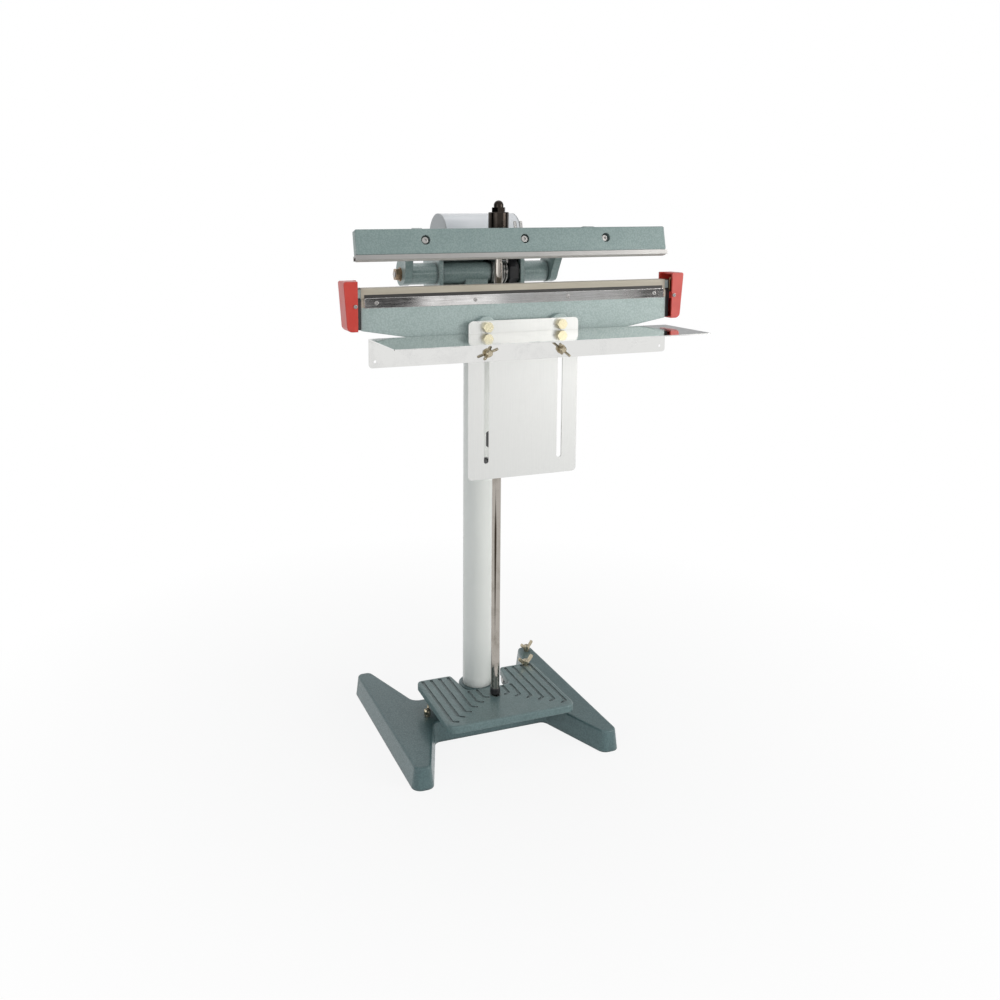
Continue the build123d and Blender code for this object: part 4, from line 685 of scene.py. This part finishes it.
def split_finish(name, edge, low_colour, high_colour, high_metal=0.0):
    """One look in front of a plane across Y and another behind it."""
    material = bpy.data.materials.new(name)
    material.use_nodes = True
    tree = material.node_tree
    shader = tree.nodes["Principled BSDF"]
    place = add(tree, "SeparateXYZ", {0: add(tree, "TexCoord").outputs["Object"]}).outputs["Y"]
    side = remap(tree, place, edge - EDGE_BLUR, edge + EDGE_BLUR)
    speckle = noise(tree, object_place(tree), 900.0, 3.0).outputs["Fac"]
    tone = remap(tree, speckle, 0.3, 0.7, 0.75, 1.15)
    base = mix_colour(tree, side, low_colour, high_colour)
    shaded = add(tree, "VectorMath", {0: base, "Scale": tone}, operation="SCALE").outputs[0]
    tree.links.new(shaded, shader.inputs["Base Color"])
    tree.links.new(remap(tree, side, 0.0, 1.0, 0.0, high_metal), shader.inputs["Metallic"])
    tree.links.new(remap(tree, speckle, 0.3, 0.7, 0.22, 0.40), shader.inputs["Roughness"])
    bump = add(tree, "Bump", {"Height": speckle, "Distance": 0.01 * MM, "Strength": 0.4})
    tree.links.new(bump.outputs["Normal"], shader.inputs["Normal"])
    finishes[name] = material


BRACKET_REACH = 6 * MM      # how far the bracket's steel comes forward of the column
lamp_edge = sum(corner.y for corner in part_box("panel_fittings")) / 2
bracket_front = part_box("column_tube")[0].y - BRACKET_REACH
split_finish("lens_red", lamp_edge, rgb(0.55, 0.025, 0.018), rgb(0.02, 0.02, 0.02))
split_finish("switch_and_bracket", bracket_front, rgb(0.02, 0.02, 0.022), rgb(0.55, 0.56, 0.57), 1.0)
print("finishes:", len(finishes))

# %% [markdown]
# ## Dress the CAD nodes
# The imported record says which slot each node takes its finish from. The slots have the same names as the
# finishes above, so one loop dresses the machine. A few nodes differ from their slot in age or shade: the
# wing screws are duller than the bolts, the hinge nut is browner, the upper jaw and its yoke take a darker
# copy of the jaw paint as painted shade, the head a copy lightened against the jaws' shade as painted light,
# the pedal a lighter paint than the base, and the plate's spacers the lower jaw's paint.

# %% Dress the CAD nodes
SPECIAL = {
    "microswitch": "switch_and_bracket", "base_wing_screws": "dull_zinc", "pedal_wing_screw": "dull_zinc",
    # the upper jaw and its yoke take a shaded copy of the jaw paint, and the head a lighter shaded copy
    "shelf_wing_screws": "dull_zinc", "hinge_pin_nut": "aged_brass", "upper_jaw_bar": "bar_shaded_paint",
    "upper_yoke": "bar_shaded_paint", "head_casting": "head_shaded_paint", "pedal_casting": "pedal_paint",
    "plate_spacers": "jaw_paint",
}
for part in frame["record"]["subparts"]:
    solid = frame["nodes"][part["node"]]
    finish = finishes.get(SPECIAL.get(part["node"], part["material_slot"]))
    if finish:
        solid.data.materials.clear()
        solid.data.materials.append(finish)

# %% [markdown]
# ## The sealing cloth
# A coated glass cloth lies over the hot ribbon, so that the bag doesn't stick. It is wrapped over the ridge
# and held in front and behind by two strips, which pull it tight, so a simulation has little to find. It is
# made flat and folded over a profile instead: each row of points slides along the profile by its distance
# from the front edge, and the cloth keeps its cut size.

# %% Cloth profile
cloth_low, cloth_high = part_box("ptfe_cloth")
ridge_low, ridge_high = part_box("insulation_tape")
CLOTH_SINK = 0.2 * MM       # the CAD solid is thicker than the cloth, so the cloth lies in its middle
RIDGE_MARGIN = 2.3 * MM     # from the tape's edge to the cloth on the ridge's side
SHOULDER_Z = 0.7338
SHOULDER_DROP = 2.5 * MM


def cloth_profile():
    """Corners of the folded cloth in the YZ plane, from the front hem to the rear hem."""
    front, back = cloth_low.y + CLOTH_SINK, cloth_high.y - CLOTH_SINK
    ridge_front, ridge_back = ridge_low.y - RIDGE_MARGIN, ridge_high.y + RIDGE_MARGIN
    top, bend = cloth_high.z - CLOTH_SINK, SHOULDER_Z - SHOULDER_DROP
    near = [(front, cloth_low.z), (front, bend), (ridge_front, SHOULDER_Z), (ridge_front, top)]
    far = [(ridge_back, top), (ridge_back, SHOULDER_Z), (back, bend), (back, cloth_low.z)]
    return [Vector((0.0, y, z)) for y, z in near + far]


def walk(points, distance):
    """The point at a distance along a polyline, and the outward normal there."""
    for start, end in zip(points, points[1:]):
        step = end - start
        if distance <= step.length or end is points[-1]:
            along = step.normalized()
            return start + along * min(distance, step.length), Vector((0.0, -along.z, along.y))
        distance -= step.length


profile = cloth_profile()
cloth_run = sum((b - a).length for a, b in zip(profile, profile[1:]))
cloth_width = cloth_high.x - cloth_low.x
print("cloth", round(cloth_width / MM), "by", round(cloth_run / MM), "mm")

# %% [markdown]
# ## Fold the cloth
# The flat sheet is a fine grid. Small waves lift it where no strip holds it, and a thin wall gives it two
# sides.

# %% Fold the cloth
ACROSS, ALONG = 240, 60
WAVE_HEIGHT = 0.05 * MM
CLOTH_WALL = 0.14 * MM
HELD_SHARE = 0.2            # of the run, at each hem, that no wave lifts
CLOTH_CREASE = math.radians(40)     # sharper folds keep their edge


def cloth_wave(u, v):
    """Height of the waves at a point of the flat sheet: a crossed pattern and finer ripples on it."""
    loose = min(max((v - HELD_SHARE) / (1.0 - 2 * HELD_SHARE), 0.0), 1.0)
    broad = math.sin(u * 61.0 + 1.3) * math.sin(v * 9.0 + u * 17.0)
    fine = 0.5 * math.sin(u * 143.0 + v * 4.0)
    return math.sin(math.pi * loose) ** 2 * (broad + fine)


def fold_cloth():
    bpy.ops.object.select_all(action="DESELECT")
    bpy.ops.mesh.primitive_grid_add(x_subdivisions=ACROSS, y_subdivisions=ALONG, size=1.0, calc_uvs=True)
    cloth = bpy.context.object
    cloth.name = "sealing_cloth"
    middle = (cloth_low.x + cloth_high.x) / 2
    for vertex in cloth.data.vertices:
        u, v = vertex.co.x, vertex.co.y + 0.5
        place, normal = walk(profile, v * cloth_run)
        vertex.co = place + normal * (WAVE_HEIGHT * cloth_wave(u, v))
        vertex.co.x = middle + u * cloth_width
    thickness = cloth.modifiers.new("wall", "SOLIDIFY")
    thickness.thickness = CLOTH_WALL
    thickness.offset = 0.0
    bpy.ops.object.modifier_apply(modifier=thickness.name)
    bpy.ops.object.mode_set(mode="EDIT")
    bpy.ops.mesh.select_all(action="SELECT")
    bpy.ops.mesh.normals_make_consistent(inside=False)
    bpy.ops.object.mode_set(mode="OBJECT")
    bpy.ops.object.shade_smooth_by_angle(angle=CLOTH_CREASE)
    return cloth


sealing_cloth = fold_cloth()
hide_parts("ptfe_cloth")
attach(sealing_cloth, "stand")
print("cloth faces", len(sealing_cloth.data.polygons))

# %% [markdown]
# ## Cloth finish
# The cloth is a plain weave under a slippery coating. The weave follows the sheet's own UV map, so it bends
# with the folds. Two wave patterns cross each other, one per thread direction. The coating browns a little
# along the middle, where the ribbon heats it, and a painted shadow, a dark line, runs along the front
# strip's upper edge where the strip shades the cloth.

# %% Cloth finish
THREAD_MM = 0.55
# where the painted shadow line lies under the front strip's upper edge
LINE_FROM_MM, LINE_TO_MM = 12.6, 18.6      # from the front hem
LINE_BLUR_MM = (0.4, 0.6)                  # at its lower and upper edge
END_BLUR = 0.002                           # of the cloth's width


def cloth_shadow_line(tree, uv):
    """A mask for the painted shadow line: between two distances from the hem, and as long as the strip."""
    from_hem = math_node(tree, "MULTIPLY", uv.outputs["Y"], cloth_run / MM)
    rise = remap(tree, from_hem, LINE_FROM_MM, LINE_FROM_MM + LINE_BLUR_MM[0])
    fall = remap(tree, from_hem, LINE_TO_MM - LINE_BLUR_MM[1], LINE_TO_MM, 1.0, 0.0)
    from_middle = math_node(tree, "ABSOLUTE", math_node(tree, "SUBTRACT", uv.outputs["X"], 0.5))
    strip_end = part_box("front_clamp_strip")[1].x / cloth_width
    inside = remap(tree, from_middle, strip_end - END_BLUR, strip_end, 1.0, 0.0)
    return math_node(tree, "MULTIPLY", math_node(tree, "MULTIPLY", rise, fall), inside)


def make_cloth_finish():
    material = bpy.data.materials.new("cloth")
    material.use_nodes = True
    tree = material.node_tree
    shader = tree.nodes["Principled BSDF"]
    uv = add(tree, "SeparateXYZ", {0: add(tree, "TexCoord").outputs["UV"]})
    turns = 2 * math.pi / (THREAD_MM * MM)
    warp = math_node(tree, "SINE", math_node(tree, "MULTIPLY", uv.outputs["X"], cloth_width * turns))
    weft = math_node(tree, "SINE", math_node(tree, "MULTIPLY", uv.outputs["Y"], cloth_run * turns))
    weave = remap(tree, math_node(tree, "MULTIPLY", warp, weft), -1.0, 1.0)
    stain = noise(tree, object_place(tree, (18.0, 160.0, 160.0)), 1.0, 5.0).outputs["Fac"]
    tone = remap(tree, stain, 0.35, 0.7)
    plain = mix_colour(tree, tone, rgb(0.50, 0.455, 0.365), rgb(0.43, 0.385, 0.30))
    middle = math_node(tree, "ABSOLUTE", math_node(tree, "SUBTRACT", uv.outputs["Y"], 0.5))
    heated = remap(tree, middle, 0.03, 0.07, 0.35, 0.0)
    browned = mix_colour(tree, math_node(tree, "MULTIPLY", heated, tone), plain, rgb(0.24, 0.15, 0.08))
    # the dark line is a painted shadow under the front strip's upper edge
    shadowed = mix_colour(tree, cloth_shadow_line(tree, uv), browned, rgb(0.022, 0.020, 0.018))
    tree.links.new(shadowed, shader.inputs["Base Color"])
    tree.links.new(remap(tree, weave, 0.0, 1.0, 0.50, 0.36), shader.inputs["Roughness"])
    bump = add(tree, "Bump", {"Height": weave, "Distance": 0.03 * MM, "Strength": 0.5})
    tree.links.new(bump.outputs["Normal"], shader.inputs["Normal"])
    shader.inputs["Sheen Weight"].default_value = 0.1
    return material


sealing_cloth.data.materials.clear()
sealing_cloth.data.materials.append(make_cloth_finish())
print("threads across the cloth:", round(cloth_width / MM / THREAD_MM))

# %% [markdown]
# ## Screws with a cross recess
# The strips and the end caps are held by small pan head screws. A boolean modifier cuts the cross, as a
# mill would. The cutter comes first: two crossed blades joined into one.

# %% Cross cutter
HEAD_R = 2.85 * MM
HEAD_H = 1.65 * MM
BLADE_SHARE = (1.25, 0.24, 1.1)     # the blade's length and width by the head's radius, depth by its height


def apply_boolean(target, operation, tool):
    """Join or cut the target with the tool, then remove the tool."""
    bpy.context.view_layer.objects.active = target
    change = target.modifiers.new("boolean", "BOOLEAN")
    change.operation = operation
    change.object = tool
    bpy.ops.object.modifier_apply(modifier=change.name)
    bpy.data.objects.remove(tool)


def cross_cutter():
    blades = []
    for turn in (0.0, math.pi / 2):
        bpy.ops.mesh.primitive_cube_add(size=1.0, rotation=(0.0, 0.0, turn), location=(0.0, 0.0, HEAD_H))
        blade = bpy.context.object
        blade.scale = (HEAD_R * BLADE_SHARE[0], HEAD_R * BLADE_SHARE[1], HEAD_H * BLADE_SHARE[2])
        blades.append(blade)
    bpy.ops.object.select_all(action="DESELECT")
    for blade in blades:
        blade.select_set(True)
    bpy.context.view_layer.objects.active = blades[0]
    bpy.ops.object.transform_apply(location=True, rotation=True, scale=True)
    apply_boolean(blades[0], "UNION", blades[1])
    return blades[0]


print("recess", round(HEAD_R * BLADE_SHARE[0] / MM, 2), "mm across")

# %% [markdown]
# ## One screw
# The head is a squat cylinder whose upper rim is bevelled round. The face below it is inset to the shank's
# radius and extruded down. One screw is modelled, and the rest are copies, each with its own mesh.

# %% One screw
SHANK_R = 1.5 * MM
SHANK_L = 7.0 * MM
RIM_SHARE = 0.55            # of the head's height that the round rim takes
HEAD_SIDES = 36
NEARLY = 0.9                # of the head's height or of a unit normal, to find its top and its underside
SCREW_CREASE = math.radians(35)


def make_screw():
    """A pan head screw along +Z, its head standing on z = 0 and its shank below."""
    bpy.ops.object.select_all(action="DESELECT")
    middle = (0.0, 0.0, HEAD_H / 2)
    bpy.ops.mesh.primitive_cylinder_add(vertices=HEAD_SIDES, radius=HEAD_R, depth=HEAD_H, location=middle)
    screw = bpy.context.object
    bpy.ops.object.transform_apply(location=True)
    bpy.ops.object.mode_set(mode="EDIT")
    bpy.ops.mesh.select_all(action="DESELECT")
    bpy.ops.object.mode_set(mode="OBJECT")
    for edge in screw.data.edges:
        edge.select = all(screw.data.vertices[i].co.z > HEAD_H * NEARLY for i in edge.vertices)
    for face in screw.data.polygons:
        face.select = face.normal.z > NEARLY
    bpy.ops.object.mode_set(mode="EDIT")
    bpy.ops.mesh.bevel(offset=HEAD_H * RIM_SHARE, segments=4, affect="EDGES")
    bpy.ops.mesh.select_all(action="DESELECT")
    bpy.ops.object.mode_set(mode="OBJECT")
    for face in screw.data.polygons:
        face.select = face.normal.z < -NEARLY
    bpy.ops.object.mode_set(mode="EDIT")
    bpy.ops.mesh.inset(thickness=HEAD_R - SHANK_R)
    bpy.ops.mesh.extrude_region_move(TRANSFORM_OT_translate={"value": (0.0, 0.0, -SHANK_L)})
    bpy.ops.object.mode_set(mode="OBJECT")
    apply_boolean(screw, "DIFFERENCE", cross_cutter())
    bpy.ops.object.select_all(action="DESELECT")
    screw.select_set(True)
    bpy.ops.object.shade_smooth_by_angle(angle=SCREW_CREASE)
    screw.data.materials.clear()
    screw.data.materials.append(finishes["zinc_plain"])
    return screw


pattern_screw = make_screw()
print("screw faces", len(pattern_screw.data.polygons))

# %% [markdown]
# ## Place the screws
# Each strip has four screws, as far apart as the holes of the CAD strips, and each end cap has one. A
# screw is never left at the same turn as its neighbour, because a hand drove each one.

# %% Place the screws
def copy_with_mesh(pattern, name, place):
    """A copy with its own mesh, moved by a matrix that goes into the mesh."""
    made = pattern.copy()
    made.data = pattern.data.copy()
    made.name = name
    bpy.context.scene.collection.objects.link(made)
    made.data.transform(place)
    return made


def place_screw(name, point, facing, turn, node):
    """Copy the screw to a point, its head looking along facing."""
    aim = Vector(facing).to_track_quat("Z", "Y").to_matrix().to_4x4()
    place = Matrix.Translation(point) @ aim @ Matrix.Rotation(turn, 4, "Z")
    screw = copy_with_mesh(pattern_screw, name, place)
    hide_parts(node)
    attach(screw, "stand")


FRONT, REAR = (0, -1, 0), (0, 1, 0)
strip_low, strip_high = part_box("front_clamp_strip")
rear_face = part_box("rear_clamp_strip")[1].y
strip_z = (strip_low.z + strip_high.z) / 2
outer_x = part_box("clamp_screws")[1].x - HEAD_R
for number, share in enumerate((-1, -1 / 3, 1 / 3, 1), 1):
    x = outer_x * share
    front_point, rear_point = (x, strip_low.y, strip_z), (x, rear_face, strip_z)
    place_screw(f"strip_screw_front_{number}", front_point, FRONT, 0.6 * number, "clamp_screws")
    place_screw(f"strip_screw_rear_{number}", rear_point, REAR, 0.4 + 0.5 * number, "clamp_screws")
cap_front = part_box("end_cap_right")[0].y
cap_screw_low, cap_screw_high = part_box("end_cap_screws")
cap_x, cap_z = cap_screw_high.x - HEAD_R, (cap_screw_low.z + cap_screw_high.z) / 2
for side, label in ((-1, "left"), (1, "right")):
    point = (side * cap_x, cap_front, cap_z)
    place_screw(f"cap_screw_{label}", point, FRONT, 0.3 + side * 0.5, "end_cap_screws")
bpy.data.objects.remove(pattern_screw)
print("screws placed")

# %% [markdown]
# ## Marks round the timer knob
# A timer knob is read against a ring of short marks on its panel. Each mark is a thin printed bar: a plane
# is extruded by a tenth of a millimetre and bevelled. Every third mark is longer, so two patterns are
# modelled and copied along an arc of 270 degrees on the end plate.

# %% One mark of each length
MARK_COUNT = 13
MARK_WIDTH = 0.7 * MM
MARK_LENGTHS = {"short": 2.0 * MM, "long": 3.2 * MM}
MARK_HEIGHT = 0.12 * MM
MARK_BEVEL = 0.04 * MM


def make_mark(length):
    """A bar that lies flat on z = 0, its length along Y."""
    bpy.ops.object.select_all(action="DESELECT")
    bpy.ops.mesh.primitive_plane_add(size=1.0)
    mark = bpy.context.object
    mark.scale = (MARK_WIDTH, length, 1.0)
    bpy.ops.object.transform_apply(scale=True)
    bpy.ops.object.mode_set(mode="EDIT")
    bpy.ops.mesh.extrude_region_move(TRANSFORM_OT_translate={"value": (0.0, 0.0, MARK_HEIGHT)})
    bpy.ops.mesh.select_all(action="SELECT")
    bpy.ops.mesh.bevel(offset=MARK_BEVEL, segments=2)
    bpy.ops.mesh.normals_make_consistent(inside=False)
    bpy.ops.object.mode_set(mode="OBJECT")
    mark.data.materials.append(finishes["mark_ink"])
    return mark


pattern_marks = {kind: make_mark(length) for kind, length in MARK_LENGTHS.items()}
print("mark patterns:", ", ".join(pattern_marks))

# %% Place the marks
DIAL_TURN = 270.0
KNOB_GAP = 1.2 * MM
knob_low, knob_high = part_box("timer_knob")
panel_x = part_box("hood_end_plates")[1].x
knob_centre = Vector((panel_x, (knob_low.y + knob_high.y) / 2, (knob_low.z + knob_high.z) / 2))
stand_up = Matrix.Rotation(math.pi / 2, 4, "Z") @ Matrix.Rotation(math.pi / 2, 4, "X")
for number in range(MARK_COUNT):
    kind = "short" if number % 3 else "long"
    radius = (knob_high.y - knob_low.y) / 2 + KNOB_GAP + MARK_LENGTHS[kind] / 2
    angle = math.radians(DIAL_TURN * (number / (MARK_COUNT - 1) - 0.5))
    out = Matrix.Rotation(angle, 4, "X") @ Matrix.Translation((0.0, 0.0, radius))
    place = Matrix.Translation(knob_centre) @ out @ stand_up
    mark = copy_with_mesh(pattern_marks[kind], f"timer_mark_{number}", place)
    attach(mark, "stand")
for pattern in pattern_marks.values():
    bpy.data.objects.remove(pattern)
print("timer marks", MARK_COUNT)
